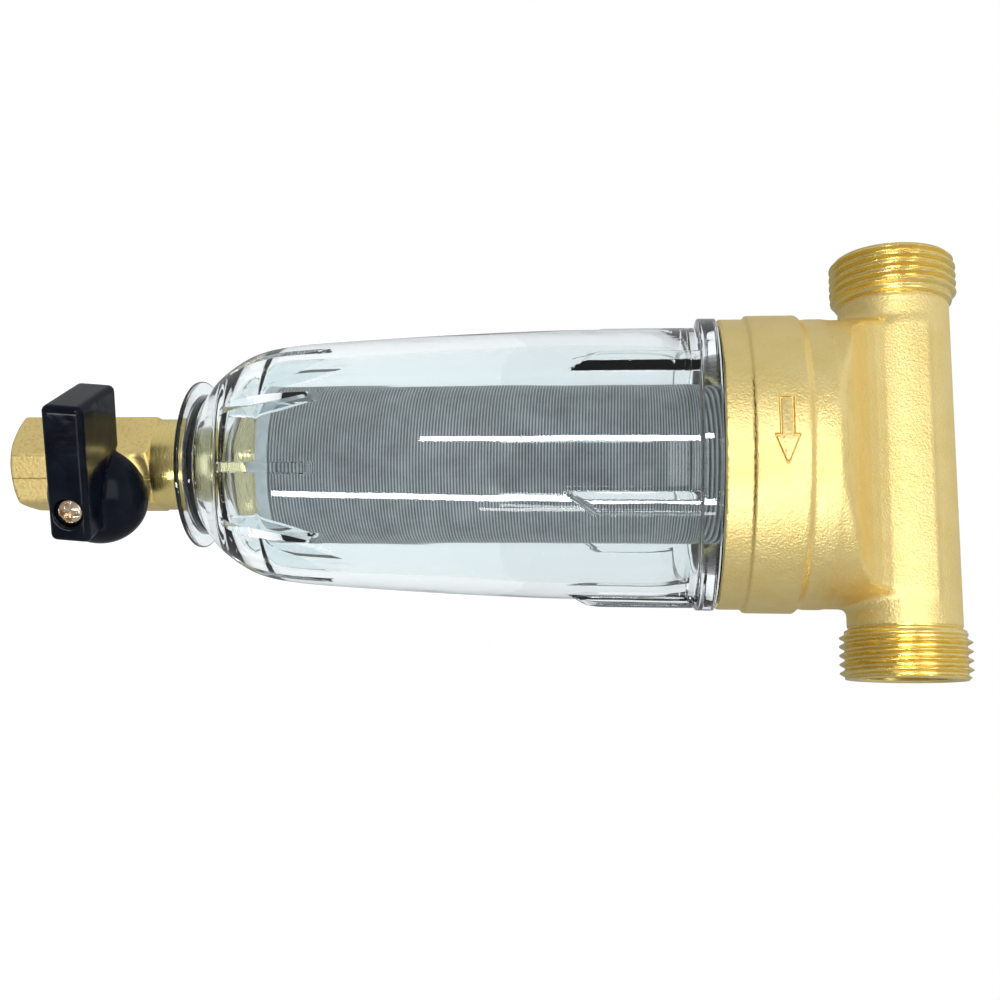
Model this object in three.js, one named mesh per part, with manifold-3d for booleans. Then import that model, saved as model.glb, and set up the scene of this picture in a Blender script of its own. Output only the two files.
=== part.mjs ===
// Flushable water filter with a brass T-shaped head, a clear screw-on bowl,
// a woven screen cartridge and a quarter-turn drain valve.
//
// Millimetres, +Z up. The origin is where the pipe axis (X) crosses the bowl
// axis (Z). Water flows towards +X, the bowl hangs down along -Z and the flow
// arrow is on the -Y side.
import * as THREE from "three";
import { mergeVertices } from "three/addons/utils/BufferGeometryUtils.js";
import Module from "manifold-3d";

const wasm = await Module();
wasm.setup();

// ---- Driving dimensions ----------------------------------------------------

// Pipe ends: G1 parallel thread.
const PIPE_R = 14.4;
const PIPE_HALF_LENGTH = 56.2;
const PORT_BORE_R = 11.5;
const THREAD_CREST_R = 16.62;
const THREAD_ROOT_R = 15.15;
const THREAD_PITCH = 2.309;
const THREAD_TURNS = 5;
const THREAD_RUNOUT = 0.4;
const THREAD_START = PIPE_HALF_LENGTH - THREAD_TURNS * THREAD_PITCH - THREAD_RUNOUT;
const MACHINED_FROM = 30;
const CAST_PIPE_HALF_LENGTH = 44;

// Head skirt and the chamber inside it.
const SKIRT_BOTTOM_Z = -47.8;
const SKIRT_R = 38.5;
const BAND_R = 39.4;
const BAND_Z = [-41.2, -27.4];
const GROOVE_R = 37.8;
const SHOULDER_R = 38.1;
const SHOULDER_Z = -24.8;
const CEILING_Z = -24;
const CENTRE_PORT_R = 14.6;
const INLET_DROP_R = 7.2;
const INLET_DROP_X = -25.4;
const INLET_BORE_END_X = -18.6;
const OUTLET_BORE_START_X = 2;
const CENTRE_PORT_TOP_Z = -9;
const CAP_Z = -20.6;
const CAP_R = 36.8;

// Half of the shoulder's section above the skirt, as [y, z]: outer corner, edge
// of the cap, then two curves, each with its pull point and its end.
const SHOULDER_CORNER = [SHOULDER_R + 2, -22.6];
const SHOULDER_EDGE = [36.6, -20.2];
const SHOULDER_CURVES = [
  [33.4, -17.6, 28.6, -15.6],
  [16.6, -12.4, 14.3, -2.4],
];
const SHOULDER_TOP = [13.2, 5.6];

// Raised flow arrow on the skirt, with its shaft along X.
const ARROW_Z = -33.6;
const ARROW_X = { tail: -7.8, neck: 1.4, tip: 8.2 };
const ARROW_HALF = { shaft: 1.3, head: 2.8 };
const ARROW_PROUD = 0.5;

// Screw joint between head and bowl.
const BOWL_THREAD_PITCH = 4;
const BOWL_THREAD_TURNS = 3;
const BOWL_THREAD_BOTTOM_Z = -43;
const SKIRT_THREAD_MINOR_R = 34.2;
const SKIRT_THREAD_MAJOR_R = 35;
const BOWL_THREAD_CREST_R = 33.8;
const BOWL_THREAD_ROOT_R = 33;
const SEAL_SEAT_R = 35.8;
const BOWL_SEAL = { radius: 34.4, sectionR: 1.1, z: -46.3 };

// Clear bowl.
const BOWL_TOP_Z = -27.5;
const BOWL_MOUTH_R = 29.5;
const FLANGE_R = 38.8;
const FLANGE_Z = [-53.2, -48.4];
const BOWL_R = 36.2;
const BOWL_WALL = 4.2;
const FLOOR_Z = -176.6;
const NECK_LIP_R = 23;
const NECK_BOTTOM_Z = -188.8;
const NECK_BORE_GAP = 0.4;
const GRIP_RIBS = 6;
const GRIP_RIB_WIDTH = 6.2;
const GRIP_RIB_R = 38.4;
const GRIP_RIB_OFFSET = 27.5;
const GRIP_RIB_TIP_Z = -86.5;
const GRIP_RIB_SLANT = 7.5;
const GRIP_RIB_RAMP = 5;
const FLOOR_RIBS = 10;
const FLOOR_RIB_WIDTH = 2.7;
const FLOOR_RIB_OFFSET = 14;

// Screen cartridge.
const SCREEN_R = 21.5;
const SCREEN_WALL = 0.6;
const SCREEN_Z = [-163.3, -28.4];
const CAGE_R = 20.6;
const CAGE_WALL = 1.5;
const CAGE_WINDOW_ROWS = 4;
const CAGE_WINDOW_WIDTH = 17;
const CAGE_WINDOW_ANGLES = [0, 60, 120];
const CAGE_BAR = 3.4;
const SCREEN_LAP = 7.6;
const COLLAR_BORE_R = 11.6;
const COLLAR_NECK_R = 14.2;
const COLLAR_TOP_Z = -15;
const COLLAR_RIM_R = 22.3;
const COLLAR_SEAL = { radius: 13.5, sectionR: 0.75, z: -18.6 };
const COLLAR_GROOVE = { half: 1.1, depth: 1.7 };
const CAP_END_Z = [-168.4, -165.4];
const CAP_LAP_TOP_Z = -158;
const CAP_LAP_R = [17.2, 18.7];

// Drain valve: hexagon bar turned so that one flat carries the stem.
const STEM_ANGLE = 31;
const VALVE_Z = -211;
const HEX_FLAT_R = 12.15;
const HEX_Z = [-238.5, -199];
const SPIGOT_R = 12.6;
const SPIGOT_TOP_Z = -181.4;
const TAIL_R = 9.8;
const TAIL_TOP_Z = -168.9;
const DRAIN_BORE_R = 5.5;
const BALL_CHAMBER_R = 9.6;
const BALL_R = 8.5;
const BALL_BORE_R = 5;
const BALL_SLOT = { half: 1.8, floor: 6 };
const NUT_FLAT_R = 15.8;
const NUT_Z = [-175.1, -169.2];
const NUT_WASHER_R = 17;
const NUT_WASHER_Z = [-176.2, -175.4];
const NUT_HOLE_GAP = 0.35;
const THICK_SEAL = { radius: 11.7, sectionR: 1.15, z: -187.5 };
const THIN_SEAL = { radius: 12.25, sectionR: 0.4, z: -185.4 };
const SEAL_GROOVE_GAP = { side: 0.2, depth: 0.15 };
const SEAT_R = [5.6, 7.35, 9.3];
const SEAT_HEIGHTS = [5, 7.9];
const CHAMBER_TOP = 8.2;
const RETAINER_HEIGHTS = [-17, -8.2];
const RETAINER_KEY_FLAT_R = 5.6;

// Stem and handle, measured outwards from the bowl axis along the stem.
const STEM_R = 4;
const STEM_HOLE_R = 4.25;
const STEM_SHOULDER_R = 4.7;
const STEM_SHOULDER = [8.9, 10.3];
const STEM_HOLE_STEP = { radius: 5.1, start: 4, end: 11.2 };
const THRUST_WASHER = { inner: 4.3, outer: 4.9, start: 10.5, end: 11 };
const BOSS_R = 8;
const BOSS_FACE = 17.4;
const HANDLE_BACK = 17.9;
const HANDLE_FRONT = 39.2;
const HANDLE_LONG_END = 27.9;
const HANDLE_SHORT_END = 7.8;
const HANDLE_WIDTH = 10.4;
const HANDLE_CORNER = 1.8;
const HANDLE_ARM_BACK = 15.9;
const HANDLE_ARM_START = -10.2;
const HANDLE_TILT = 4.5;
const HUB_R = 13.3;
const HUB_OFFSET = 2;
const HUB_RIM = 1.6;
const HUB_DOME = 10.6;
const SCREW_HEAD_R = 3.45;
const SCREW_HOLE_R = 1.95;
const SCREW_SHANK_R = 1.5;
const SCREW_SEAT = 35.6;
const SCREW_WASHER = { inner: 1.9, outer: 3.3, start: 35.8, end: 36.3 };
const SCREW_HEAD = { start: 36.5, edge: 37.4, flatR: 2.6, flat: 38.5, top: 38.8 };
const CROSS_SLOT = { half: 2.3, halfWidth: 0.45, floor: 37.4 };
const DRIVE_END = 30;
const DRIVE_HALF = 2.5;
const SOCKET_HALF = 2.8;
const STEM_TONGUE = { half: 1.45, halfHeight: 3.4, start: 6.4, end: 9.5 };
const STEM_SEAL_AT = [12.9, 15.2];
const STEM_SEAL = { radius: 3.6, sectionR: 0.5 };
const STEM_GROOVE = { radius: 2.9, half: 0.7 };
const SCREW_END = 22;
const TAPPED_FROM = 21;
const BOSS_ROOT = { start: 6, taper: 3, chamfer: 0.6, flare: 1 };

const SMOOTH = 40;
const FINE = 24;

// ---- Materials -------------------------------------------------------------

const material = (color, roughness, metalness, extra = {}) =>
  new THREE.MeshStandardMaterial({ color, roughness, metalness, ...extra });

const castBrass = material(0xd6b45a, 0.42, 1);
const turnedBrass = material(0xcfa84c, 0.3, 1);
const clearPlastic = material(0xe4eef0, 0.06, 0, { transparent: true, opacity: 0.3 });
const translucentPlastic = material(0xc4ccd0, 0.35, 0);
const cagePlastic = material(0xd9dcdd, 0.5, 0);
const steelMesh = material(0x8d9396, 0.4, 1);
const steel = material(0xa8a49a, 0.3, 1);
const rubber = material(0x141518, 0.6, 0);
const ptfe = material(0xf0f0ec, 0.45, 0);
const fibre = material(0xe6e3da, 0.7, 0);
const handlePlastic = material(0x0a0d16, 0.2, 0);
const chromedBall = material(0xc9cdd1, 0.12, 1);

// ---- Helpers ---------------------------------------------------------------

const radians = (degrees) => (degrees * Math.PI) / 180;

// Signed area of a closed outline, positive when it runs anticlockwise.
function signedArea(points) {
  let sum = 0;
  points.forEach(([x, y], i) => {
    const [nextX, nextY] = points[(i + 1) % points.length];
    sum += x * nextY - nextX * y;
  });
  return sum / 2;
}

// A solid of revolution about Z from a closed [radius, z] outline.
function turned(outline, segments = SMOOTH) {
  const points = signedArea(outline) < 0 ? [...outline].reverse() : [...outline];
  const closed = [...points, points[0]].map(([r, z]) => new THREE.Vector2(r, z));
  const geometry = new THREE.LatheGeometry(closed, segments);
  return geometry.rotateX(Math.PI / 2);
}

// A plain rod along Z between two heights.
const rod = (radius, z0, z1, segments = SMOOTH) =>
  new THREE.CylinderGeometry(radius, radius, Math.abs(z1 - z0), segments)
    .rotateX(Math.PI / 2)
    .translate(0, 0, (z0 + z1) / 2);

// A straight-sided ring about Z.
const ring = (innerR, outerR, z0, z1, segments = SMOOTH) =>
  turned([[innerR, z0], [outerR, z0], [outerR, z1], [innerR, z1]], segments);

// A round seal about Z.
const seal = ({ radius, sectionR, z }, segments = SMOOTH) =>
  new THREE.TorusGeometry(radius, sectionR, 6, segments).translate(0, 0, z);

// A flat outline given in X and Y, raised between two heights.
function raised(outline, z0, z1) {
  const shape = new THREE.Shape(outline.map(([x, y]) => new THREE.Vector2(x, y)));
  const options = { depth: z1 - z0, bevelEnabled: false };
  return new THREE.ExtrudeGeometry(shape, options).translate(0, 0, z0);
}

// A box between two corners.
function block([x0, y0, z0], [x1, y1, z1]) {
  const box = new THREE.BoxGeometry(x1 - x0, y1 - y0, z1 - z0);
  return box.translate((x0 + x1) / 2, (y0 + y1) / 2, (z0 + z1) / 2);
}

// A hexagon bar about Z with a corner towards -Y turned by the given angle.
function hexBar(flatR, z0, z1, cornerAngle) {
  const cornerR = flatR / Math.cos(radians(30));
  const corners = [0, 1, 2, 3, 4, 5].map((i) => {
    const angle = radians(cornerAngle + 60 * i);
    return [cornerR * Math.sin(angle), -cornerR * Math.cos(angle)];
  });
  return raised(corners.reverse(), z0, z1);
}

// The body whose chamfer cuts both ends of a hexagon bar.
const chamferBody = (faceR, z0, z1, slope = 0.5) => {
  const widerR = faceR * 1.4;
  const drop = (widerR - faceR) * slope;
  return turned([[0, z0], [faceR, z0], [widerR, z0 + drop], [widerR, z1 - drop], [faceR, z1], [0, z1]]);
};

function solid(geometry) {
  const bare = geometry.clone();
  bare.deleteAttribute("normal");
  bare.deleteAttribute("uv");
  const merged = mergeVertices(bare, 1e-4);
  return new wasm.Manifold(
    new wasm.Mesh({
      numProp: 3,
      vertProperties: merged.attributes.position.array,
      triVerts: new Uint32Array(merged.index.array),
    }),
  );
}

const joined = (...geometries) =>
  geometries.map(solid).reduce((whole, piece) => whole.add(piece));

const cut = (body, ...geometries) =>
  geometries.map(solid).reduce((rest, tool) => rest.subtract(tool), body);

// A named mesh from a geometry or from a cut or joined solid.
function piece(name, shape, look) {
  let geometry = shape;
  if (!shape.isBufferGeometry) {
    const { vertProperties, triVerts } = shape.getMesh();
    geometry = new THREE.BufferGeometry();
    geometry.setAttribute("position", new THREE.BufferAttribute(vertProperties, 3));
    geometry.setIndex(new THREE.BufferAttribute(triVerts, 1));
  }
  geometry.computeVertexNormals();
  const mesh = new THREE.Mesh(geometry, look);
  mesh.name = name;
  return mesh;
}

// Thread outline points [radius, z] going up: a sharp ridge per turn.
function ridges(rootR, crestR, bottomZ, pitch, turns) {
  const points = [];
  for (let i = 0; i < turns; i += 1) {
    const z = bottomZ + i * pitch;
    points.push([rootR, z + pitch * 0.05], [crestR, z + pitch * 0.5]);
  }
  return points;
}

// ---- Head ------------------------------------------------------------------

// One threaded pipe end, lathed about Z and then laid along +X or -X.
function pipeEnd(side) {
  const end = turned([
    [0, MACHINED_FROM],
    [PIPE_R, MACHINED_FROM],
    [PIPE_R, THREAD_START - 1],
    [THREAD_ROOT_R, THREAD_START],
    ...ridges(THREAD_ROOT_R, THREAD_CREST_R, THREAD_START, THREAD_PITCH, THREAD_TURNS),
    [THREAD_ROOT_R, PIPE_HALF_LENGTH],
    [0, PIPE_HALF_LENGTH],
  ], 36);
  return end.rotateY(side * Math.PI / 2);
}

// Cross-section of the shoulder that blends the pipe into the skirt, swept
// along X: a sloping shoulder, then a hollow curve up to the pipe's flank.
function shoulderBlend() {
  const half = new THREE.Shape();
  half.moveTo(0, SHOULDER_Z - 2);
  half.lineTo(SHOULDER_CORNER[0], SHOULDER_Z - 2);
  half.lineTo(...SHOULDER_CORNER);
  half.lineTo(...SHOULDER_EDGE);
  SHOULDER_CURVES.forEach((curve) => half.quadraticCurveTo(...curve));
  half.lineTo(...SHOULDER_TOP);
  half.lineTo(0, SHOULDER_TOP[1]);
  const right = half.extractPoints(4).shape.map((p) => [p.x, p.y]);
  const left = right.slice(1, -1).reverse().map(([y, z]) => [-y, z]);
  const swept = raised([...right, ...left], -SHOULDER_R, SHOULDER_R);
  // The sweep runs along Z, so its outline's X becomes Y and its Y becomes Z.
  return swept.applyMatrix4(new THREE.Matrix4().set(
    0, 0, 1, 0,
    1, 0, 0, 0,
    0, 1, 0, 0,
    0, 0, 0, 1,
  ));
}

function flowArrow() {
  const { tail, neck, tip } = ARROW_X;
  const outline = [
    [tail, ARROW_Z - ARROW_HALF.shaft],
    [neck, ARROW_Z - ARROW_HALF.shaft],
    [neck, ARROW_Z - ARROW_HALF.head],
    [tip, ARROW_Z],
    [neck, ARROW_Z + ARROW_HALF.head],
    [neck, ARROW_Z + ARROW_HALF.shaft],
    [tail, ARROW_Z + ARROW_HALF.shaft],
  ];
  return raised(outline, SKIRT_R - 2, BAND_R + 2).rotateX(Math.PI / 2);
}

function headCasting() {
  const skirt = turned([
    [0, SKIRT_BOTTOM_Z],
    [SKIRT_R, SKIRT_BOTTOM_Z],
    [SKIRT_R, BAND_Z[0]],
    [BAND_R, BAND_Z[0] + 0.5],
    [BAND_R, BAND_Z[1] - 0.7],
    [GROOVE_R, BAND_Z[1] + 0.9],
    [SHOULDER_R, SHOULDER_Z],
    [SHOULDER_R, CAP_Z - 1.4],
    [CAP_R, CAP_Z],
    [0, CAP_Z],
  ]);
  const roundLimit = rod(SHOULDER_R, SHOULDER_Z - 2, PIPE_R);
  const blend = solid(shoulderBlend()).intersect(solid(roundLimit));
  const pipe = rod(PIPE_R, -CAST_PIPE_HALF_LENGTH, CAST_PIPE_HALF_LENGTH, 36).rotateY(Math.PI / 2);
  const arrow = solid(flowArrow()).intersect(solid(rod(BAND_R + ARROW_PROUD, ...BAND_Z)));
  const outside = joined(skirt, pipe, pipeEnd(1), pipeEnd(-1)).add(blend).add(arrow);

  const chamber = turned([
    [0, SKIRT_BOTTOM_Z - 1],
    [SEAL_SEAT_R, SKIRT_BOTTOM_Z - 1],
    [SEAL_SEAT_R, BOWL_THREAD_BOTTOM_Z - 1.6],
    [SKIRT_THREAD_MINOR_R, BOWL_THREAD_BOTTOM_Z - 0.4],
    ...ridges(
      SKIRT_THREAD_MINOR_R, SKIRT_THREAD_MAJOR_R,
      BOWL_THREAD_BOTTOM_Z, BOWL_THREAD_PITCH, BOWL_THREAD_TURNS,
    ),
    [SKIRT_THREAD_MINOR_R, CEILING_Z - 1.5],
    [SKIRT_THREAD_MINOR_R - 1.5, CEILING_Z],
    [0, CEILING_Z],
  ]);
  const inletBore = rod(PORT_BORE_R, -PIPE_HALF_LENGTH - 1, INLET_BORE_END_X, FINE)
    .rotateY(Math.PI / 2);
  const outletBore = rod(PORT_BORE_R, OUTLET_BORE_START_X, PIPE_HALF_LENGTH + 1, FINE)
    .rotateY(Math.PI / 2);
  const inletDrop = rod(INLET_DROP_R, CEILING_Z - 1, 0, FINE).translate(INLET_DROP_X, 0, 0);
  const centrePort = rod(CENTRE_PORT_R, CEILING_Z - 1, CENTRE_PORT_TOP_Z, FINE);
  const outletRise = rod(PORT_BORE_R, CENTRE_PORT_TOP_Z - 1, 0, FINE)
    .translate(OUTLET_BORE_START_X, 0, 0);
  return cut(outside, chamber, inletBore, outletBore, inletDrop, centrePort, outletRise);
}

// ---- Bowl ------------------------------------------------------------------

// Half-width of the bowl's outside below its flange, from the flange down.
const BOWL_OUTSIDE = [
  [BOWL_R, FLANGE_Z[0]],
  [BOWL_R - 0.1, -90],
  [35.5, -108],
  [34.7, -127],
  [33.3, -152],
  [32.4, -162],
  [31.1, -169],
  [28.8, -174.5],
  [25, -180.2],
  [22.2, -184.2],
  [21.4, -186.2],
  [NECK_LIP_R, -187.2],
  [NECK_LIP_R, NECK_BOTTOM_Z + 0.6],
  [NECK_LIP_R - 0.6, NECK_BOTTOM_Z],
];

// The bowl's inside from its floor up to its mouth.
const BOWL_INSIDE = [
  [19.4, FLOOR_Z],
  [22.8, -174.8],
  [25.6, -171.2],
  [27.4, -166.2],
  [28.6, -160],
  [BOWL_R - BOWL_WALL - 1.6, -127],
  [BOWL_R - BOWL_WALL, -90],
  [BOWL_R - BOWL_WALL, -56],
  [BOWL_MOUTH_R, -51],
];

// Raised grip pad with one straight and one slanting edge below, so that it
// starts in a point on the side nearer the parting line through -Y and +Y.
function gripRib(angle) {
  const half = GRIP_RIB_WIDTH / 2;
  const pointSide = Math.sin(2 * radians(angle)) > 0 ? -1 : 1;
  const plan = [
    [-pointSide * half, FLANGE_Z[0] + 1],
    [pointSide * half, FLANGE_Z[0] + 1],
    [pointSide * half, GRIP_RIB_TIP_Z],
    [-pointSide * half, GRIP_RIB_TIP_Z + GRIP_RIB_SLANT],
  ];
  const outline = signedArea(plan) < 0 ? plan.reverse() : plan;
  const pad = raised(outline, BOWL_R - 3, GRIP_RIB_R + 1).rotateX(Math.PI / 2);
  return pad.rotateZ(radians(angle));
}

// The turned surface that limits the grip pads: a short ramp, then full height.
const gripLimit = () => turned([
  [0, GRIP_RIB_TIP_Z - 1],
  [BOWL_R - 0.2, GRIP_RIB_TIP_Z - 1],
  [GRIP_RIB_R, GRIP_RIB_TIP_Z + GRIP_RIB_RAMP],
  [GRIP_RIB_R, FLANGE_Z[0] + 1],
  [0, FLANGE_Z[0] + 1],
]);

// Side of an inner rib that joins the floor to the wall, as [radius, z].
const FLOOR_RIB_SIDE = [
  [22.4, FLOOR_Z - 0.5],
  [22.4, -168],
  [25.2, -160],
  [29.4, -150],
  [30, -168],
  [26, -176],
];

function floorRib(angle) {
  const rib = raised(FLOOR_RIB_SIDE, -FLOOR_RIB_WIDTH / 2, FLOOR_RIB_WIDTH / 2);
  return rib.rotateX(Math.PI / 2).rotateZ(radians(angle - 90));
}

function bowl() {
  const body = turned([
    [BOWL_MOUTH_R, BOWL_TOP_Z],
    [BOWL_THREAD_ROOT_R, BOWL_TOP_Z],
    ...ridges(
      BOWL_THREAD_ROOT_R, BOWL_THREAD_CREST_R,
      BOWL_THREAD_BOTTOM_Z, BOWL_THREAD_PITCH, BOWL_THREAD_TURNS,
    ).reverse(),
    [BOWL_THREAD_ROOT_R, FLANGE_Z[1]],
    [FLANGE_R, FLANGE_Z[1]],
    [FLANGE_R, FLANGE_Z[0]],
    ...BOWL_OUTSIDE,
    [SPIGOT_R + NECK_BORE_GAP, NECK_BOTTOM_Z],
    [SPIGOT_R + NECK_BORE_GAP, SPIGOT_TOP_Z + 0.3],
    [TAIL_R + NECK_BORE_GAP, SPIGOT_TOP_Z + 0.3],
    [TAIL_R + NECK_BORE_GAP, FLOOR_Z],
    ...BOWL_INSIDE,
  ]);
  const gripRibs = Array.from({ length: GRIP_RIBS }, (_, i) =>
    gripRib(GRIP_RIB_OFFSET + (360 / GRIP_RIBS) * i));
  const floorRibs = Array.from({ length: FLOOR_RIBS }, (_, i) =>
    floorRib(FLOOR_RIB_OFFSET + (360 / FLOOR_RIBS) * i));
  const grip = joined(...gripRibs).intersect(solid(gripLimit()));
  const inside = turned([[0, FLOOR_Z], ...BOWL_INSIDE, [0, BOWL_INSIDE.at(-1)[1]]]);
  return joined(body, ...floorRibs).add(cut(grip, inside));
}

// ---- Screen cartridge ------------------------------------------------------

function screenCage() {
  const bottom = SCREEN_Z[0] + 0.2;
  const top = SCREEN_Z[1] - SCREEN_LAP - 0.4;
  const tube = solid(ring(CAGE_R - CAGE_WALL, CAGE_R, bottom, top, FINE));
  const rowHeight = (top - bottom) / CAGE_WINDOW_ROWS;
  const reach = CAGE_R + 1;
  const halfWidth = CAGE_WINDOW_WIDTH / 2;
  const windows = [];
  for (let row = 0; row < CAGE_WINDOW_ROWS; row += 1) {
    const z0 = bottom + row * rowHeight + CAGE_BAR / 2;
    const z1 = z0 + rowHeight - CAGE_BAR;
    for (const angle of CAGE_WINDOW_ANGLES) {
      const window = block([-reach, -halfWidth, z0], [reach, halfWidth, z1]);
      windows.push(window.rotateZ(radians(angle)));
    }
  }
  return cut(tube, ...windows);
}

const screenTopCollar = () => turned([
  [COLLAR_BORE_R, COLLAR_TOP_Z],
  [COLLAR_NECK_R - 0.6, COLLAR_TOP_Z],
  [COLLAR_NECK_R, COLLAR_TOP_Z - 0.6],
  [COLLAR_NECK_R, COLLAR_SEAL.z + COLLAR_GROOVE.half],
  [COLLAR_NECK_R - COLLAR_GROOVE.depth, COLLAR_SEAL.z + COLLAR_GROOVE.half],
  [COLLAR_NECK_R - COLLAR_GROOVE.depth, COLLAR_SEAL.z - COLLAR_GROOVE.half],
  [COLLAR_NECK_R, COLLAR_SEAL.z - COLLAR_GROOVE.half],
  [COLLAR_NECK_R, CEILING_Z - 0.4],
  [COLLAR_RIM_R, CEILING_Z - 0.4],
  [COLLAR_RIM_R, SCREEN_Z[1] + 0.3],
  [CAGE_R, SCREEN_Z[1] + 0.3],
  [CAGE_R, SCREEN_Z[1] - SCREEN_LAP],
  [CAGE_R - 1.8, SCREEN_Z[1] - SCREEN_LAP],
  [CAGE_R - 1.8, SCREEN_Z[1]],
  [COLLAR_BORE_R, SCREEN_Z[1] + 1],
], 32);

const screenEndCap = () => turned([
  [0, CAP_END_Z[0]],
  [SCREEN_R - 1.1, CAP_END_Z[0]],
  [SCREEN_R, CAP_END_Z[0] + 1.1],
  [SCREEN_R, SCREEN_Z[0] - 0.3],
  [CAP_LAP_R[1], SCREEN_Z[0] - 0.3],
  [CAP_LAP_R[1], CAP_LAP_TOP_Z],
  [CAP_LAP_R[0], CAP_LAP_TOP_Z],
  [CAP_LAP_R[0], CAP_END_Z[1]],
  [0, CAP_END_Z[1]],
], 32);

// ---- Drain valve -----------------------------------------------------------
// Built with the stem along -Y and turned to STEM_ANGLE by its group.

// A shape made about Z, laid so that its +Z points out along the stem (-Y).
const outward = (geometry) => geometry.rotateX(Math.PI / 2);

// Outline of the spigot's groove for one seal, going up.
function sealGroove({ radius, sectionR, z }) {
  const floor = radius - sectionR - SEAL_GROOVE_GAP.depth;
  const half = sectionR + SEAL_GROOVE_GAP.side;
  return [
    [SPIGOT_R, z - half],
    [floor, z - half],
    [floor, z + half],
    [SPIGOT_R, z + half],
  ];
}

function valveBody() {
  const bar = solid(hexBar(HEX_FLAT_R, HEX_Z[0], HEX_Z[1], 30))
    .intersect(solid(chamferBody(HEX_FLAT_R - 0.2, HEX_Z[0], HEX_Z[1])));
  const spigot = turned([
    [0, HEX_Z[1] - 2],
    [SPIGOT_R, HEX_Z[1] - 2],
    ...sealGroove(THICK_SEAL),
    ...sealGroove(THIN_SEAL),
    [SPIGOT_R, SPIGOT_TOP_Z],
    [TAIL_R, SPIGOT_TOP_Z],
    [TAIL_R, TAIL_TOP_Z - 0.8],
    [TAIL_R - 0.8, TAIL_TOP_Z],
    [0, TAIL_TOP_Z],
  ]);
  const boss = outward(turned([
    [0, BOSS_ROOT.start],
    [BOSS_R + BOSS_ROOT.flare, BOSS_ROOT.start],
    [BOSS_R, BOSS_FACE - BOSS_ROOT.taper],
    [BOSS_R - BOSS_ROOT.chamfer, BOSS_FACE],
    [0, BOSS_FACE],
  ], FINE)).translate(0, 0, VALVE_Z);
  const ballChamber = turned([
    [0, HEX_Z[0] - 1],
    [BALL_CHAMBER_R + 0.6, HEX_Z[0] - 1],
    [BALL_CHAMBER_R, HEX_Z[0] + 1],
    [BALL_CHAMBER_R, VALVE_Z + CHAMBER_TOP],
    [DRAIN_BORE_R, VALVE_Z + CHAMBER_TOP],
    [DRAIN_BORE_R, TAIL_TOP_Z + 1],
    [0, TAIL_TOP_Z + 1],
  ], FINE);
  const stemHole = outward(turned([
    [0, STEM_HOLE_STEP.start],
    [STEM_HOLE_STEP.radius, STEM_HOLE_STEP.start],
    [STEM_HOLE_STEP.radius, STEM_HOLE_STEP.end],
    [STEM_HOLE_R, STEM_HOLE_STEP.end],
    [STEM_HOLE_R, BOSS_FACE + 2],
    [0, BOSS_FACE + 2],
  ], FINE)).translate(0, 0, VALVE_Z);
  return cut(bar.add(solid(spigot)).add(solid(boss)), ballChamber, stemHole);
}

// Soft seat ring above (+1) or below (-1) the ball.
const ballSeat = (side) => turned([
  [SEAT_R[1], VALVE_Z + side * SEAT_HEIGHTS[0]],
  [SEAT_R[2], VALVE_Z + side * SEAT_HEIGHTS[0]],
  [SEAT_R[2], VALVE_Z + side * SEAT_HEIGHTS[1]],
  [SEAT_R[0], VALVE_Z + side * SEAT_HEIGHTS[1]],
], FINE);

// Retaining ring screwed in behind the lower seat, with a hexagon key socket.
const seatRetainer = () => cut(
  solid(rod(SEAT_R[2], VALVE_Z + RETAINER_HEIGHTS[0], VALVE_Z + RETAINER_HEIGHTS[1], FINE)),
  hexBar(RETAINER_KEY_FLAT_R, VALVE_Z + RETAINER_HEIGHTS[0] - 1, VALVE_Z + RETAINER_HEIGHTS[1] + 1, 30),
);

// A flat ring about the stem.
const flatWasher = ({ inner, outer, start, end }) => outward(ring(inner, outer, start, end, FINE));

const stemThrustWasher = () => flatWasher(THRUST_WASHER).translate(0, 0, VALVE_Z);

// ---- Turning parts of the valve ---------------------------------------------
// Built about the stem axis at height 0; their group sets height and lean.

function valveBall() {
  const ball = new THREE.SphereGeometry(BALL_R, 20, 12);
  const past = BALL_R + 3;
  const bore = rod(BALL_BORE_R, -past, past, FINE).rotateY(Math.PI / 2);
  const slot = block([-BALL_SLOT.half, -past, -past], [BALL_SLOT.half, -BALL_SLOT.floor, past]);
  return cut(solid(ball), bore, slot);
}

function valveStem() {
  const groove = (at) => [
    [STEM_R, at - STEM_GROOVE.half],
    [STEM_GROOVE.radius, at - STEM_GROOVE.half],
    [STEM_GROOVE.radius, at + STEM_GROOVE.half],
    [STEM_R, at + STEM_GROOVE.half],
  ];
  const shaft = outward(turned([
    [0, STEM_SHOULDER[0]],
    [STEM_SHOULDER_R, STEM_SHOULDER[0]],
    [STEM_SHOULDER_R, STEM_SHOULDER[1]],
    [STEM_R, STEM_SHOULDER[1]],
    ...groove(STEM_SEAL_AT[0]),
    ...groove(STEM_SEAL_AT[1]),
    [STEM_R, BOSS_FACE],
    [0, BOSS_FACE],
  ], FINE));
  const tongue = block(
    [-STEM_TONGUE.half, -STEM_TONGUE.end, -STEM_TONGUE.halfHeight],
    [STEM_TONGUE.half, -STEM_TONGUE.start, STEM_TONGUE.halfHeight],
  );
  const drive = block(
    [-DRIVE_HALF, -DRIVE_END, -DRIVE_HALF],
    [DRIVE_HALF, -BOSS_FACE + 1, DRIVE_HALF],
  );
  const tapped = outward(rod(SCREW_HOLE_R, TAPPED_FROM, DRIVE_END + 2, 16));
  return cut(joined(shaft, tongue, drive), tapped);
}

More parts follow.
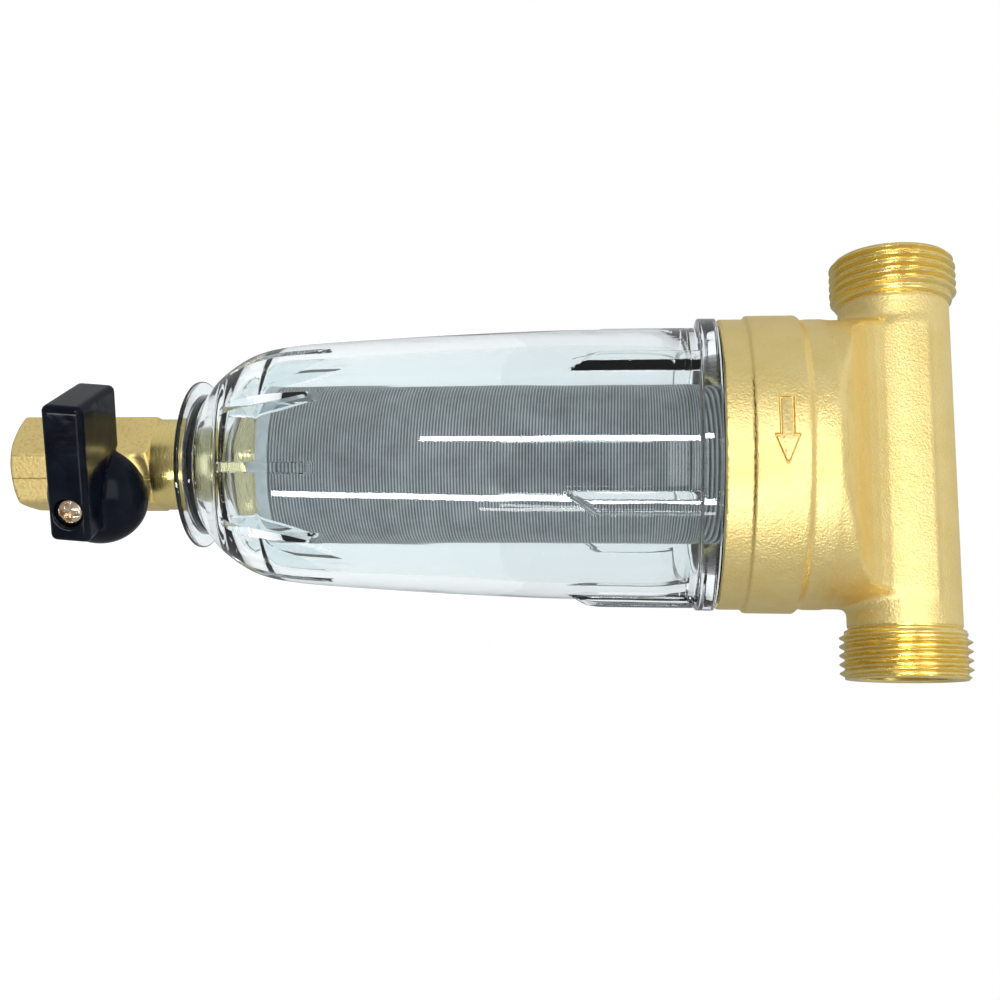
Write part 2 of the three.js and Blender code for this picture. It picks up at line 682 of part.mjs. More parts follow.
// Paddle over the stem, its long arm reaching further back, and a domed hub.
function valveHandle() {
  const half = HANDLE_WIDTH / 2;
  const corner = HANDLE_CORNER;
  const paddle = raised([
    [-HANDLE_LONG_END + corner, -half],
    [HANDLE_SHORT_END - corner, -half],
    [HANDLE_SHORT_END, -half + corner],
    [HANDLE_SHORT_END, half - corner],
    [HANDLE_SHORT_END - corner, half],
    [-HANDLE_LONG_END + corner, half],
    [-HANDLE_LONG_END, half - corner],
    [-HANDLE_LONG_END, -half + corner],
  ], HANDLE_BACK, HANDLE_FRONT);
  const arm = block(
    [-HANDLE_LONG_END + corner, -half, HANDLE_ARM_BACK],
    [HANDLE_ARM_START, half, HANDLE_BACK + 1],
  );
  const dome = [];
  for (let i = 0; i <= 6; i += 1) {
    const angle = radians(15 * i);
    dome.push([HUB_R * Math.cos(angle), HANDLE_BACK + HUB_RIM + HUB_DOME * Math.sin(angle)]);
  }
  const hub = turned([[0, HANDLE_BACK], [HUB_R - 0.5, HANDLE_BACK], ...dome], FINE)
    .translate(HUB_OFFSET, 0, 0);
  const socket = block(
    [-SOCKET_HALF, -SOCKET_HALF, HANDLE_BACK - 1],
    [SOCKET_HALF, SOCKET_HALF, DRIVE_END + 0.4],
  );
  const screwHole = rod(SCREW_HOLE_R, DRIVE_END - 1, SCREW_SEAT + 1, 16);
  const recess = rod(SCREW_HEAD_R + 0.35, SCREW_SEAT, HANDLE_FRONT + 1, FINE);
  return cut(joined(paddle, arm, hub), socket, screwHole, recess).rotate([90, 0, 0]);
}

function handleScrew() {
  const { start, edge, flatR, flat, top } = SCREW_HEAD;
  const head = turned([
    [0, start],
    [SCREW_HEAD_R, start],
    [SCREW_HEAD_R, edge],
    [flatR, flat],
    [0, top],
  ], FINE);
  const shank = rod(SCREW_SHANK_R, SCREW_END, start + 0.5, 16);
  const { half, halfWidth, floor } = CROSS_SLOT;
  const crossSlot = block([-half, -halfWidth, floor], [half, halfWidth, top + 1]);
  const secondSlot = crossSlot.clone().rotateZ(Math.PI / 2);
  return cut(joined(head, shank), crossSlot, secondSlot).rotate([90, 0, 0]);
}

const screwWasher = () => flatWasher(SCREW_WASHER);

const stemSeal = (at) => outward(seal({ ...STEM_SEAL, z: at }, 20));

// ---- Assembly --------------------------------------------------------------

const head = new THREE.Group();
head.add(
  piece("head_casting", headCasting(), castBrass),
  piece("screen_mesh", ring(SCREEN_R - SCREEN_WALL, SCREEN_R, ...SCREEN_Z), steelMesh),
  piece("screen_cage", screenCage(), cagePlastic),
  piece("screen_top_collar", screenTopCollar(), translucentPlastic),
  piece("screen_collar_seal", seal(COLLAR_SEAL, FINE), rubber),
  piece("screen_end_cap", screenEndCap(), translucentPlastic),
);

const bowlGroup = new THREE.Group();
bowlGroup.add(
  piece("bowl", bowl(), clearPlastic),
  piece("bowl_seal", seal(BOWL_SEAL), rubber),
  piece("drain_seal_thick", seal(THICK_SEAL, FINE), rubber),
  piece("drain_seal_thin", seal(THIN_SEAL, FINE), rubber),
  piece(
    "locknut_washer",
    ring(TAIL_R + NECK_BORE_GAP, NUT_WASHER_R, ...NUT_WASHER_Z, FINE),
    fibre,
  ),
  piece(
    "drain_locknut",
    cut(
      solid(hexBar(NUT_FLAT_R, ...NUT_Z, STEM_ANGLE - 30))
        .intersect(solid(chamferBody(NUT_FLAT_R, ...NUT_Z, 0.35))),
      rod(TAIL_R + NUT_HOLE_GAP, NUT_Z[0] - 1, NUT_Z[1] + 1, FINE),
    ),
    turnedBrass,
  ),
);

const valve = new THREE.Group();
valve.rotation.z = radians(STEM_ANGLE);
valve.add(
  piece("valve_body", valveBody(), castBrass),
  piece("ball_seat_upper", ballSeat(1), ptfe),
  piece("ball_seat_lower", ballSeat(-1), ptfe),
  piece("seat_retainer", seatRetainer(), turnedBrass),
  piece("stem_thrust_washer", stemThrustWasher(), ptfe),
);

const handle = new THREE.Group();
handle.position.z = VALVE_Z;
handle.rotation.y = radians(HANDLE_TILT);
handle.add(
  piece("valve_handle", valveHandle(), handlePlastic),
  piece("handle_screw", handleScrew(), steel),
  piece("screw_washer", screwWasher(), steel),
  piece("valve_stem", valveStem(), turnedBrass),
  piece("stem_seal_inner", stemSeal(STEM_SEAL_AT[0]), rubber),
  piece("stem_seal_outer", stemSeal(STEM_SEAL_AT[1]), rubber),
  piece("valve_ball", valveBall(), chromedBall),
);
valve.add(handle);

const filter = new THREE.Group();
filter.add(head, bowlGroup, valve);

export default filter;
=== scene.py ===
"""Flushable water filter: brass T head, clear screw-on bowl, woven screen and quarter-turn drain valve.

Lengths are millimetres and become metres where a mesh is made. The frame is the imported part's own:
X along the pipe in the flow direction, Z up the bowl axis, and the flow arrow on the -Y side.
"""

import math

import bpy
import numpy as np
from mathutils import Matrix, Vector


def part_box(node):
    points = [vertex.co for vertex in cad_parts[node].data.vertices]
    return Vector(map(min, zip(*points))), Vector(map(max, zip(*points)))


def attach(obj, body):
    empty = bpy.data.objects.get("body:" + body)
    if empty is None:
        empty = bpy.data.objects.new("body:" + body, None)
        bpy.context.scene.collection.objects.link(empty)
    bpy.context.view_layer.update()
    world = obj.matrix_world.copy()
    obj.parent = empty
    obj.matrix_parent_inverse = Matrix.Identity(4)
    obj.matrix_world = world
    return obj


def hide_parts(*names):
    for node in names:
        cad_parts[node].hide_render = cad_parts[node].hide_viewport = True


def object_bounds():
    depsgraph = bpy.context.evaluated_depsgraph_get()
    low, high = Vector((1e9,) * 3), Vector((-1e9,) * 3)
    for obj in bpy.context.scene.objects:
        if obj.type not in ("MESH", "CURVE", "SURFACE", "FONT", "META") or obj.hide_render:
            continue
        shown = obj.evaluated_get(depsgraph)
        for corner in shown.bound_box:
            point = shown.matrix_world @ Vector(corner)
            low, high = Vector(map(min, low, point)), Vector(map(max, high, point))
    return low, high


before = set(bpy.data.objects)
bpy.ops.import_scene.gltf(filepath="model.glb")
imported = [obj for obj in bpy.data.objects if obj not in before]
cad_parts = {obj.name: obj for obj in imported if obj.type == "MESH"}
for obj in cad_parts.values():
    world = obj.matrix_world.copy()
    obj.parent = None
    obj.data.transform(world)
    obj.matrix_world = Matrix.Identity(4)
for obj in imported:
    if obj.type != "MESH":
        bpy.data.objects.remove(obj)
cad_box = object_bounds()

MM = 0.001
TURN = 2 * math.pi

# ---- Dimensions


def box_mm(node):
    """The lowest and highest corner of a CAD node, in millimetres."""
    low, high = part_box(node)
    return np.array(low) / MM, np.array(high) / MM


head_low, head_high = box_mm("head_casting")
bowl_low, bowl_high = box_mm("bowl")
screen_low, screen_high = box_mm("screen_mesh")
valve_low, valve_high = box_mm("valve_body")
nut_low, nut_high = box_mm("drain_locknut")

PIPE_R = 14.4
PIPE_END = head_high[0]
PORT_R = 11.5
THREAD_CREST_R = head_high[2]
THREAD_ROOT_R = 15.15
THREAD_PITCH = 2.309
THREAD_TURNS = 5
THREAD_START = PIPE_END - THREAD_TURNS * THREAD_PITCH - 0.4

SKIRT_BOTTOM = head_low[2]
SKIRT_R = 38.5
BAND_R = 39.4
BAND_Z = (-41.2, -27.4)
GROOVE_R = 37.8
SHOULDER_R = 38.1
SHOULDER_Z = -24.8
CEILING = -24
CENTRE_PORT_R = 14.6
CENTRE_PORT_TOP = -9
OUTLET_START = 2
INLET_START = 18.6
INLET_DROP_R = 7.2
INLET_DROP_X = -25.4
ARROW_Z = -33.6
ARROW_TAIL = -7.8
ARROW_NECK = 1.4
ARROW_TIP = 8.2
ARROW_SHAFT = 1.3
ARROW_WING = 2.8

BOWL_THREAD_PITCH = 4
BOWL_THREAD_TURNS = 3
BOWL_THREAD_BOTTOM = -43
SKIRT_THREAD_R = (34.2, 35)
BOWL_THREAD_R = (33, 33.8)
SEAL_SEAT_R = 35.8

BOWL_TOP = bowl_high[2]
MOUTH_R = 29.5
FLANGE_R = 38.8
FLANGE_Z = (-53.2, -48.4)
BOWL_R = 36.2
WALL = 4.2
FLOOR = -176.6
LIP_R = 23
NECK_BOTTOM = bowl_low[2]
NECK_BORE_R = 13
TAIL_BORE_R = 10.2
SPIGOT_TOP = -181.4
GRIP_RIBS = 6
GRIP_WIDTH = 6.2
GRIP_R = 38.4
GRIP_OFFSET = 27.5
GRIP_TIP = -86.5
GRIP_SLANT = 7.5
GRIP_BEVEL = 1.5
GRIP_RUN_OUT = 6
FLOOR_RIBS = 10
FLOOR_RIB_WIDTH = 2.7
FLOOR_RIB_OFFSET = 14
FLOOR_RIB_R = 28
BOWL_COLUMNS = 144
NECK_TOP = (19.7, -184.4)

SCREEN_R = 21.5
SCREEN_WALL = 0.6
WIRE_RELIEF = 0.24
WIRE_PITCH = 0.8
WIRE_GAP = 0.3

STEM_ANGLE = math.radians(31)
HANDLE_TILT = math.radians(4.5)
VALVE_Z = -211
HEX_FLAT_R = 12.15
HEX_EDGE = 0.9
HEX_Z = (valve_low[2], -199)
SPIGOT_R = 12.6
WET_R = NECK_BORE_R + 0.03
TAIL_R = 9.8
TAIL_TOP = valve_high[2]
BALL_CHAMBER_R = 9.6
DRAIN_BORE_R = 5.5
NUT_FLAT_R = 15.8
NUT_Z = (nut_low[2], nut_high[2])
NUT_WASHER_R = 17
NUT_WASHER_Z = (-176.2, -175.4)
BOSS_R = 8
BOSS_FACE = 17.4
BOSS_TAPER = 9
HANDLE_BACK = 17.9
ARM_BACK = 15.9
ARM_START = -10.2
HANDLE_FRONT = 39.2
HANDLE_LONG_END = 27.9
HANDLE_SHORT_END = 7.8
HANDLE_WIDTH = 10.4
HUB_R = 13.3
HUB_OFFSET = 2
HUB_HEIGHT = 10.6
SOCKET_HALF = 2.8
SOCKET_END = 30.4
SCREW_R = 3.45
SCREW_SEAT = 35.6
SCREW_TOP = 38.8
SCREW_DOME_R = 7
SCREW_RECESS = 1.9

# Round seals: radius of the ring, radius of the section, height.
BOWL_SEAL = (34.4, 1.1, -46.3)
COLLAR_SEAL = (13.5, 0.75, -18.6)
THICK_SEAL = (11.7, 1.15, -187.5)
THIN_SEAL = (12.25, 0.4, -185.4)
SQUEEZE = 0.02

# ---- Camera, light and floor

CAMERA_AT = Vector((74.21, -334.07, -72.28)) * MM
CAMERA_RIGHT = Vector((-0.02193, 0.09425, 0.99532))
CAMERA_DOWN = Vector((0.98181, 0.18990, 0.00365))
CAMERA_LENS = 45.52
CAMERA_NEAR = 0.01
MIDDLE = Vector((0, 0, -100)) * MM

# What reflections meet: brightness from -X to +X, and its rise towards the top.
STUDIO_STOPS = ((0.0, 0.66), (0.22, 0.50), (0.42, 0.38), (0.6, 0.34), (0.8, 0.38), (1.0, 0.52))
STUDIO_TINT = (0.97, 0.99, 1)
CEILING_RISE = (("From Min", 0.3), ("From Max", 0.9), ("To Min", 1.0), ("To Max", 1.8))

FLOOR_BELOW = 0.04
FLOOR_RADIUS = 1.6
FLOOR_STEPS = 96
FLOOR_WHITE = (0.95, 0.95, 0.95, 1)
FLOOR_GLOW = 0.12


def placed(name, data):
    """A new object in the scene with that mesh, lamp or camera."""
    made = bpy.data.objects.new(name, data)
    bpy.context.scene.collection.objects.link(made)
    return made


def make_camera():
    """The view: level with the bowl and turned a quarter, so that the bowl lies sideways."""
    right = CAMERA_RIGHT.normalized()
    forward = CAMERA_DOWN.cross(right).normalized() * -1
    down = forward.cross(right)
    data = bpy.data.cameras.new("camera")
    data.lens = CAMERA_LENS
    data.clip_start = CAMERA_NEAR
    camera = placed("camera", data)
    turn = Matrix((right, -down, -forward)).transposed().to_4x4()
    camera.matrix_world = Matrix.Translation(CAMERA_AT) @ turn
    bpy.context.scene.camera = camera


def area_light(name, at, size, power):
    """A rectangular lamp facing the filter's middle, its longer side along Z."""
    data = bpy.data.lights.new(name, "AREA")
    data.shape = "RECTANGLE"
    data.size, data.size_y = size
    data.energy = power
    lamp = placed(name, data)
    back = (Vector(at) - MIDDLE).normalized()
    side = Vector((0, 0, 1)).cross(back).normalized()
    turn = Matrix((side, back.cross(side), back)).transposed().to_4x4()
    lamp.matrix_world = Matrix.Translation(Vector(at)) @ turn


def colour_stop(ramp, i, place, colour):
    """Sets one stop of a colour ramp, which starts out with two."""
    stop = ramp.color_ramp.elements[i] if i < 2 else ramp.color_ramp.elements.new(place)
    stop.position = place
    stop.color = (*colour, 1)


def make_world():
    """White to look at and through, and a grey studio with a brighter -X side in reflections."""
    world = bpy.data.worlds.new("studio")
    bpy.context.scene.world = world
    world.use_nodes = True
    nodes, links = world.node_tree.nodes, world.node_tree.links
    nodes.clear()
    coordinates = nodes.new("ShaderNodeTexCoord")
    split = nodes.new("ShaderNodeSeparateXYZ")
    links.new(coordinates.outputs["Generated"], split.inputs[0])
    ramp = nodes.new("ShaderNodeValToRGB")
    for i, (place, level) in enumerate(STUDIO_STOPS):
        colour_stop(ramp, i, place, [level * share for share in STUDIO_TINT])
    reach = nodes.new("ShaderNodeMapRange")
    reach.inputs["From Min"].default_value = -1
    links.new(split.outputs["X"], reach.inputs["Value"])
    links.new(reach.outputs["Result"], ramp.inputs["Fac"])
    seen = nodes.new("ShaderNodeBackground")
    mirrored = nodes.new("ShaderNodeBackground")
    links.new(ramp.outputs["Color"], mirrored.inputs["Color"])
    ceiling = nodes.new("ShaderNodeMapRange")
    ceiling.interpolation_type = "SMOOTHSTEP"
    for socket, number in CEILING_RISE:
        ceiling.inputs[socket].default_value = number
    links.new(split.outputs["Z"], ceiling.inputs["Value"])
    links.new(ceiling.outputs["Result"], mirrored.inputs["Strength"])
    path = nodes.new("ShaderNodeLightPath")
    reflected = nodes.new("ShaderNodeMath")
    reflected.operation = "SUBTRACT"
    reflected.use_clamp = True
    links.new(path.outputs["Is Glossy Ray"], reflected.inputs[0])
    links.new(path.outputs["Is Transmission Ray"], reflected.inputs[1])
    mix = nodes.new("ShaderNodeMixShader")
    links.new(reflected.outputs[0], mix.inputs["Fac"])
    links.new(seen.outputs[0], mix.inputs[1])
    links.new(mirrored.outputs[0], mix.inputs[2])
    seen.inputs["Color"].default_value = (1, 1, 1, 1)
    output = nodes.new("ShaderNodeOutputWorld")
    links.new(mix.outputs[0], output.inputs["Surface"])


def make_stage():
    """A pale round floor below the hanging filter."""
    height = cad_box[0].z - FLOOR_BELOW
    angles = [TURN * i / FLOOR_STEPS for i in range(FLOOR_STEPS)]
    rim = [(math.cos(a) * FLOOR_RADIUS, math.sin(a) * FLOOR_RADIUS, height) for a in angles]
    mesh = bpy.data.meshes.new("floor")
    mesh.from_pydata(rim, [], [list(range(FLOOR_STEPS))])
    floor = placed("floor", mesh)
    look = bpy.data.materials.new("floor_white")
    look.use_nodes = True
    shader = look.node_tree.nodes["Principled BSDF"]
    shader.inputs["Base Color"].default_value = FLOOR_WHITE
    shader.inputs["Roughness"].default_value = 0.9
    shader.inputs["Emission Color"].default_value = (1, 1, 1, 1)
    shader.inputs["Emission Strength"].default_value = FLOOR_GLOW
    mesh.materials.append(look)
    floor.visible_glossy = False
    floor.visible_diffuse = False


# ---- Materials


class Finish:
    """A Principled material with short ways to add procedural detail to it."""

    def __init__(self, name, colour, roughness, metallic=0.0, **sockets):
        self.material = bpy.data.materials.new(name)
        self.material.use_nodes = True
        self.nodes = self.material.node_tree.nodes
        self.links = self.material.node_tree.links
        self.shader = self.nodes["Principled BSDF"]
        self.shader.inputs["Base Color"].default_value = (*colour, 1)
        self.shader.inputs["Roughness"].default_value = roughness
        self.shader.inputs["Metallic"].default_value = metallic
        for socket, value in sockets.items():
            self.shader.inputs[socket.replace("_", " ")].default_value = value
        self.place = self.nodes.new("ShaderNodeTexCoord").outputs["Object"]
        self.height = None

    def feed(self, node, socket, value):
        """Links an output to a node's input, or sets the input to a number."""
        if isinstance(value, bpy.types.NodeSocket):
            self.links.new(value, node.inputs[socket])
        else:
            node.inputs[socket].default_value = value

    def do(self, operation, a, b=0.0):
        """One arithmetic step."""
        node = self.nodes.new("ShaderNodeMath")
        node.operation = operation
        self.feed(node, 0, a)
        self.feed(node, 1, b)
        return node.outputs[0]

    def axis(self, name):
        """X, Y or Z in metres."""
        node = self.nodes.new("ShaderNodeSeparateXYZ")
        self.links.new(self.place, node.inputs[0])
        return node.outputs[name]

    def noise(self, size, detail=2.0, stretch=(1, 1, 1)):
        """Cloudy noise whose features are about that many millimetres wide."""
        scale = self.nodes.new("ShaderNodeMapping")
        self.links.new(self.place, scale.inputs["Vector"])
        scale.inputs["Scale"].default_value = stretch
        node = self.nodes.new("ShaderNodeTexNoise")
        self.links.new(scale.outputs[0], node.inputs["Vector"])
        node.inputs["Scale"].default_value = 1 / (size * MM)
        node.inputs["Detail"].default_value = detail
        return node.outputs["Fac"]

    def spread(self, value, low, high, to_low=0.0, to_high=1.0):
        """A value mapped from one range to another, held at both ends."""
        node = self.nodes.new("ShaderNodeMapRange")
        for socket, number in zip(("Value", "From Min", "From Max", "To Min", "To Max"),
                                  (value, low, high, to_low, to_high)):
            self.feed(node, socket, number)
        return node.outputs["Result"]

    def tint(self, factor, *colours):
        """Base colour that runs through the colours, evenly placed, as the factor goes from 0 to 1."""
        ramp = self.nodes.new("ShaderNodeValToRGB")
        for i, colour in enumerate(colours):
            colour_stop(ramp, i, i / (len(colours) - 1), colour)
        self.links.new(factor, ramp.inputs["Fac"])
        self.links.new(ramp.outputs["Color"], self.shader.inputs["Base Color"])

    def rough(self, factor, low, high):
        """Roughness that follows a factor from 0 to 1."""
        self.links.new(self.spread(factor, 0.0, 1.0, low, high), self.shader.inputs["Roughness"])

    def bump(self, value, depth):
        """Relief that many millimetres deep; further calls add to it."""
        node = self.nodes.new("ShaderNodeBump")
        self.links.new(value, node.inputs["Height"])
        node.inputs["Distance"].default_value = depth * MM
        if self.height is not None:
            self.links.new(self.height, node.inputs["Normal"])
        self.height = node.outputs["Normal"]
        self.links.new(self.height, self.shader.inputs["Normal"])

    def mottle(self, factor, colours, roughness, depth=0):
        """Colour, roughness and relief that all follow one cloudy factor."""
        self.tint(self.spread(factor, 0.3, 0.7), *colours)
        self.rough(factor, *roughness)
        if depth:
            self.bump(factor, depth)


def make_cast_brass():
    """Satin sand-cast brass with fine grain, the ragged edge of the casting skin on the front as relief,
    and a painted shadow along that edge.
    """
    look = Finish("cast_brass", (0.90, 0.72, 0.30), 0.42, 1.0)
    cloud = look.noise(9, 3)
    grain = look.noise(0.6, 3)
    ragged = look.do("MULTIPLY", look.do("SUBTRACT", look.noise(0.9, 3), 0.5), 0.9 * MM)
    height = look.do("ADD", look.axis("Z"), ragged)
    line = look.do("ABSOLUTE", look.do("SUBTRACT", height, (BAND_Z[0] + 0.15) * MM))
    near = look.spread(line, 0.04 * MM, 0.16 * MM, 1.0, 0.0)
    front = look.spread(look.axis("Y"), -34 * MM, -30 * MM, 1.0, 0.0)
    side = look.spread(look.axis("X"), -14.5 * MM, -12 * MM)
    patchy = look.spread(look.noise(2.5, 2), 0.3, 0.4)
    # Mask of the ragged edge, on the front only: it lowers the tone and gives the base colour a painted
    # shadow there, and it also raises relief.
    seam = look.do("MULTIPLY", look.do("MULTIPLY", near, front), look.do("MULTIPLY", side, patchy))
    shade = look.do("MULTIPLY", look.spread(cloud, 0.3, 0.7), 0.5)
    shade = look.do("ADD", shade, look.do("MULTIPLY", look.spread(grain, 0.3, 0.7), 0.3))
    shade = look.do("MAXIMUM", look.do("SUBTRACT", shade, seam), 0.0)
    look.tint(shade, (0.85, 0.66, 0.25), (0.90, 0.72, 0.31), (0.93, 0.77, 0.38))
    # Painted shadow along the ragged edge: near-black brown mixed into the base colour.
    edge_shadow = look.nodes.new("ShaderNodeMix")
    edge_shadow.data_type = "RGBA"
    ramp = look.shader.inputs["Base Color"].links[0].from_socket
    look.links.new(seam, edge_shadow.inputs[0])
    look.links.new(ramp, edge_shadow.inputs[6])
    edge_shadow.inputs[7].default_value = (0.22, 0.14, 0.03, 1)
    look.links.new(edge_shadow.outputs[2], look.shader.inputs["Base Color"])
    look.rough(look.noise(2.5, 2), 0.36, 0.52)
    look.bump(grain, 0.17)
    look.bump(look.noise(2.2, 2), 0.07)
    look.bump(look.do("SUBTRACT", 1.0, seam), 0.25)
    return look.material


def make_forged_brass():
    """Hot-stamped brass with a mottled skin and a thin parting line in the plane of the stem."""
    look = Finish("forged_brass", (0.86, 0.67, 0.28), 0.42, 1.0)
    mottle = look.noise(0.8, 4)
    across_x = look.do("MULTIPLY", look.axis("X"), math.cos(STEM_ANGLE))
    across_y = look.do("MULTIPLY", look.axis("Y"), math.sin(STEM_ANGLE))
    across = look.do("ABSOLUTE", look.do("ADD", across_x, across_y))
    seam = look.spread(across, 0.06 * MM, 0.22 * MM, 1.0, 0.0)
    shade = look.spread(mottle, 0.3, 0.7, 0.25, 1.0)
    shade = look.do("MAXIMUM", look.do("SUBTRACT", shade, seam), 0.0)
    look.tint(shade, (0.62, 0.43, 0.14), (0.92, 0.71, 0.28), (0.97, 0.79, 0.38))
    look.rough(mottle, 0.34, 0.56)
    look.bump(mottle, 0.08)
    look.bump(look.noise(0.3, 2), 0.035)
    look.bump(look.do("SUBTRACT", 1.0, seam), 0.12)
    return look.material


def make_turned_brass(name, axis, tones):
    """Machined brass with fine tool rings about an axis, in three close tones."""
    look = Finish(name, tones[1], 0.24, 1.0)
    along = [1, 1, 1]
    along["XYZ".index(axis)] = 40
    look.mottle(look.noise(4, 3, along), tones, (0.18, 0.36), 0.02)
    return look.material


def make_clear_plastic():
    """Thick clear moulded plastic, faintly blue, with slow ripples from the mould."""
    look = Finish("clear_plastic", (0.84, 0.895, 0.91), 0.015, Transmission_Weight=1.0, IOR=1.5)
    look.bump(look.noise(14, 1, (1, 1, 0.5)), 0.12)
    return look.material


def make_translucent_plastic():
    """Milky grey plastic of the screen's end cap and collar."""
    look = Finish("collar_plastic", (0.50, 0.55, 0.57), 0.3, Transmission_Weight=0.25, IOR=1.5)
    look.mottle(look.noise(3, 2), ((0.54, 0.60, 0.62), (0.68, 0.73, 0.75)), (0.24, 0.42))
    look.bump(look.noise(0.6, 2), 0.02)
    return look.material


def make_cage_plastic():
    """Matt off-white moulded plastic."""
    look = Finish("cage_plastic", (0.72, 0.73, 0.73), 0.45)
    look.mottle(look.noise(2, 2), ((0.66, 0.67, 0.67), (0.76, 0.77, 0.77)), (0.38, 0.55), 0.03)
    return look.material


def make_steel_mesh():
    """Woven stainless wire: the rings are geometry and the upright wires are bump; the colour paints light
    and shade, with lighter crests and near-black gaps and holes as painted shade.
    """
    look = Finish("steel_mesh", (0.3, 0.32, 0.33), 0.4, 0.75)
    around = look.do("ARCTAN2", look.axis("Y"), look.axis("X"))
    wires = round(TURN * SCREEN_R / WIRE_GAP)
    upright = look.do("SINE", look.do("MULTIPLY", around, wires))
    place = look.do("SUBTRACT", look.axis("Z"), screen_low[2] * MM)
    rings = look.do("COSINE", look.do("MULTIPLY", place, TURN / (WIRE_PITCH * MM)))
    crest = look.spread(rings, 1, -1)
    twill = look.do("MULTIPLY", look.spread(upright, -1, 1), 0.35)
    level = look.do("ADD", look.do("ADD", crest, twill), look.do("MULTIPLY", look.noise(6, 3), 0.7))
    # Painted light and shade: ring crests and upright wires painted lighter, the gaps between them
    # near-black, with cloudy tone mixed in.
    look.tint(look.spread(level, 0.3, 1.7), (0.04, 0.045, 0.05), (0.22, 0.24, 0.25), (0.54, 0.57, 0.58))
    look.rough(look.noise(5, 2), 0.34, 0.5)
    look.bump(upright, 0.04)
    return look.material


def make_rubber():
    """Black rubber with a faint bloom."""
    look = Finish("seal_rubber", (0.005, 0.005, 0.006), 0.5, Specular_IOR_Level=0.06)
    bloom = look.noise(1.2, 3)
    look.tint(look.spread(bloom, 0.35, 0.7), (0.003, 0.003, 0.004), (0.010, 0.010, 0.012))
    look.rough(bloom, 0.4, 0.65)
    look.bump(look.noise(0.4, 2), 0.02)
    return look.material


def make_fibre():
    """Pressed off-white fibre."""
    look = Finish("washer_fibre", (0.75, 0.72, 0.65), 0.75)
    strands = look.noise(0.5, 4, (1, 1, 4))
    look.mottle(strands, ((0.66, 0.62, 0.54), (0.80, 0.77, 0.70)), (0.65, 0.85), 0.05)
    return look.material


def make_ptfe():
    """Waxy white fluoropolymer."""
    look = Finish("seat_ptfe", (0.85, 0.85, 0.82), 0.4, Subsurface_Weight=0.1)
    look.mottle(look.noise(1.5, 2), ((0.80, 0.80, 0.77), (0.88, 0.88, 0.86)), (0.32, 0.48), 0.02)
    return look.material


def make_handle_plastic():
    """Glossy blue-black moulded plastic with slight waves."""
    look = Finish("handle_plastic", (0.003, 0.004, 0.007), 0.15, Specular_IOR_Level=0.09)
    wave = look.noise(6, 2)
    look.tint(look.spread(wave, 0.3, 0.7), (0.0015, 0.002, 0.0045), (0.004, 0.006, 0.011))
    look.rough(look.noise(2, 3), 0.1, 0.2)
    look.bump(wave, 0.12)
    look.bump(look.noise(0.5, 2), 0.006)
    return look.material


def make_screw_steel():
    """Plated steel with a warm cast and small marks from the driver."""
    look = Finish("screw_steel", (0.70, 0.56, 0.42), 0.25, 1.0)
    tones = (0.66, 0.50, 0.34), (0.74, 0.60, 0.45), (0.80, 0.68, 0.54)
    look.mottle(look.noise(0.9, 3), tones, (0.14, 0.22))
    return look.material


def make_chrome():
    """Chromed ball with faint polishing swirls."""
    look = Finish("ball_chrome", (0.78, 0.80, 0.82), 0.08, 1.0)
    swirls = look.noise(3, 3, (1, 5, 1))
    look.mottle(swirls, ((0.72, 0.74, 0.76), (0.82, 0.84, 0.86)), (0.05, 0.14), 0.004)
    return look.material


# ---- Outlines and distance fields


def rounded(corners, steps=4):
    """An outline of [u, v] or [u, v, radius] corners, each radius turned into a curve."""
    points = []
    count = len(corners)
    for i, corner in enumerate(corners):
        here = np.array(corner[:2], float)
        radius = corner[2] if len(corner) > 2 else 0
        if radius == 0:
            points.append(here)
            continue
        back = np.array(corners[i - 1][:2], float) - here
        on = np.array(corners[(i + 1) % count][:2], float) - here
        back_length, on_length = np.linalg.norm(back), np.linalg.norm(on)
        back, on = back / back_length, on / on_length
        half = math.acos(max(-1.0, min(1.0, float(back @ on)))) / 2
        reach = min(radius / math.tan(half), 0.49 * back_length, 0.49 * on_length)
        for step in range(steps + 1):
            t = step / steps
            points.append(here + back * reach * (1 - t) ** 2 + on * reach * t ** 2)
    return np.array(points)


def divided(points, spacing):
    """The same open line, up to its last point, in steps no longer than the spacing."""
    out = []
    for a, b in zip(points, points[1:]):
        parts = max(1, math.ceil(np.linalg.norm(b - a) / spacing))
        out.extend(a + (b - a) * i / parts for i in range(parts))
    return np.array(out)


def outline_distance(points, u, v):
    """Signed distance from (u, v) to a closed outline, negative inside."""
    best = np.full(np.broadcast(u, v).shape, np.inf)
    inside = np.zeros(best.shape, bool)
    for (u0, v0), (u1, v1) in zip(points, np.roll(points, -1, axis=0)):
        du, dv = u1 - u0, v1 - v0
        along = np.clip(((u - u0) * du + (v - v0) * dv) / (du * du + dv * dv), 0, 1)
        best = np.minimum(best, (u - u0 - along * du) ** 2 + (v - v0 - along * dv) ** 2)
        if dv != 0:
            inside ^= ((v0 > v) != (v1 > v)) & (u < du * (v - v0) / dv + u0)
    return np.where(inside, -1, 1) * np.sqrt(best)


def blend_min(a, b, width):
    """Union of two fields with a fillet about that wide."""
    share = np.clip(0.5 + 0.5 * (b - a) / width, 0, 1)
    return b + (a - b) * share - width * share * (1 - share)


def blend_max(a, b, width):
    """Overlap of two fields with a rounded edge about that wide."""
    return -blend_min(-a, -b, width)


def lattice(low, high, step):
    """Sample coordinates along X, Y and Z, shaped so that they broadcast into a grid."""
    axes = [np.arange(a, b + step, step) for a, b in zip(low, high)]
    return np.meshgrid(*axes, indexing="ij", sparse=True)


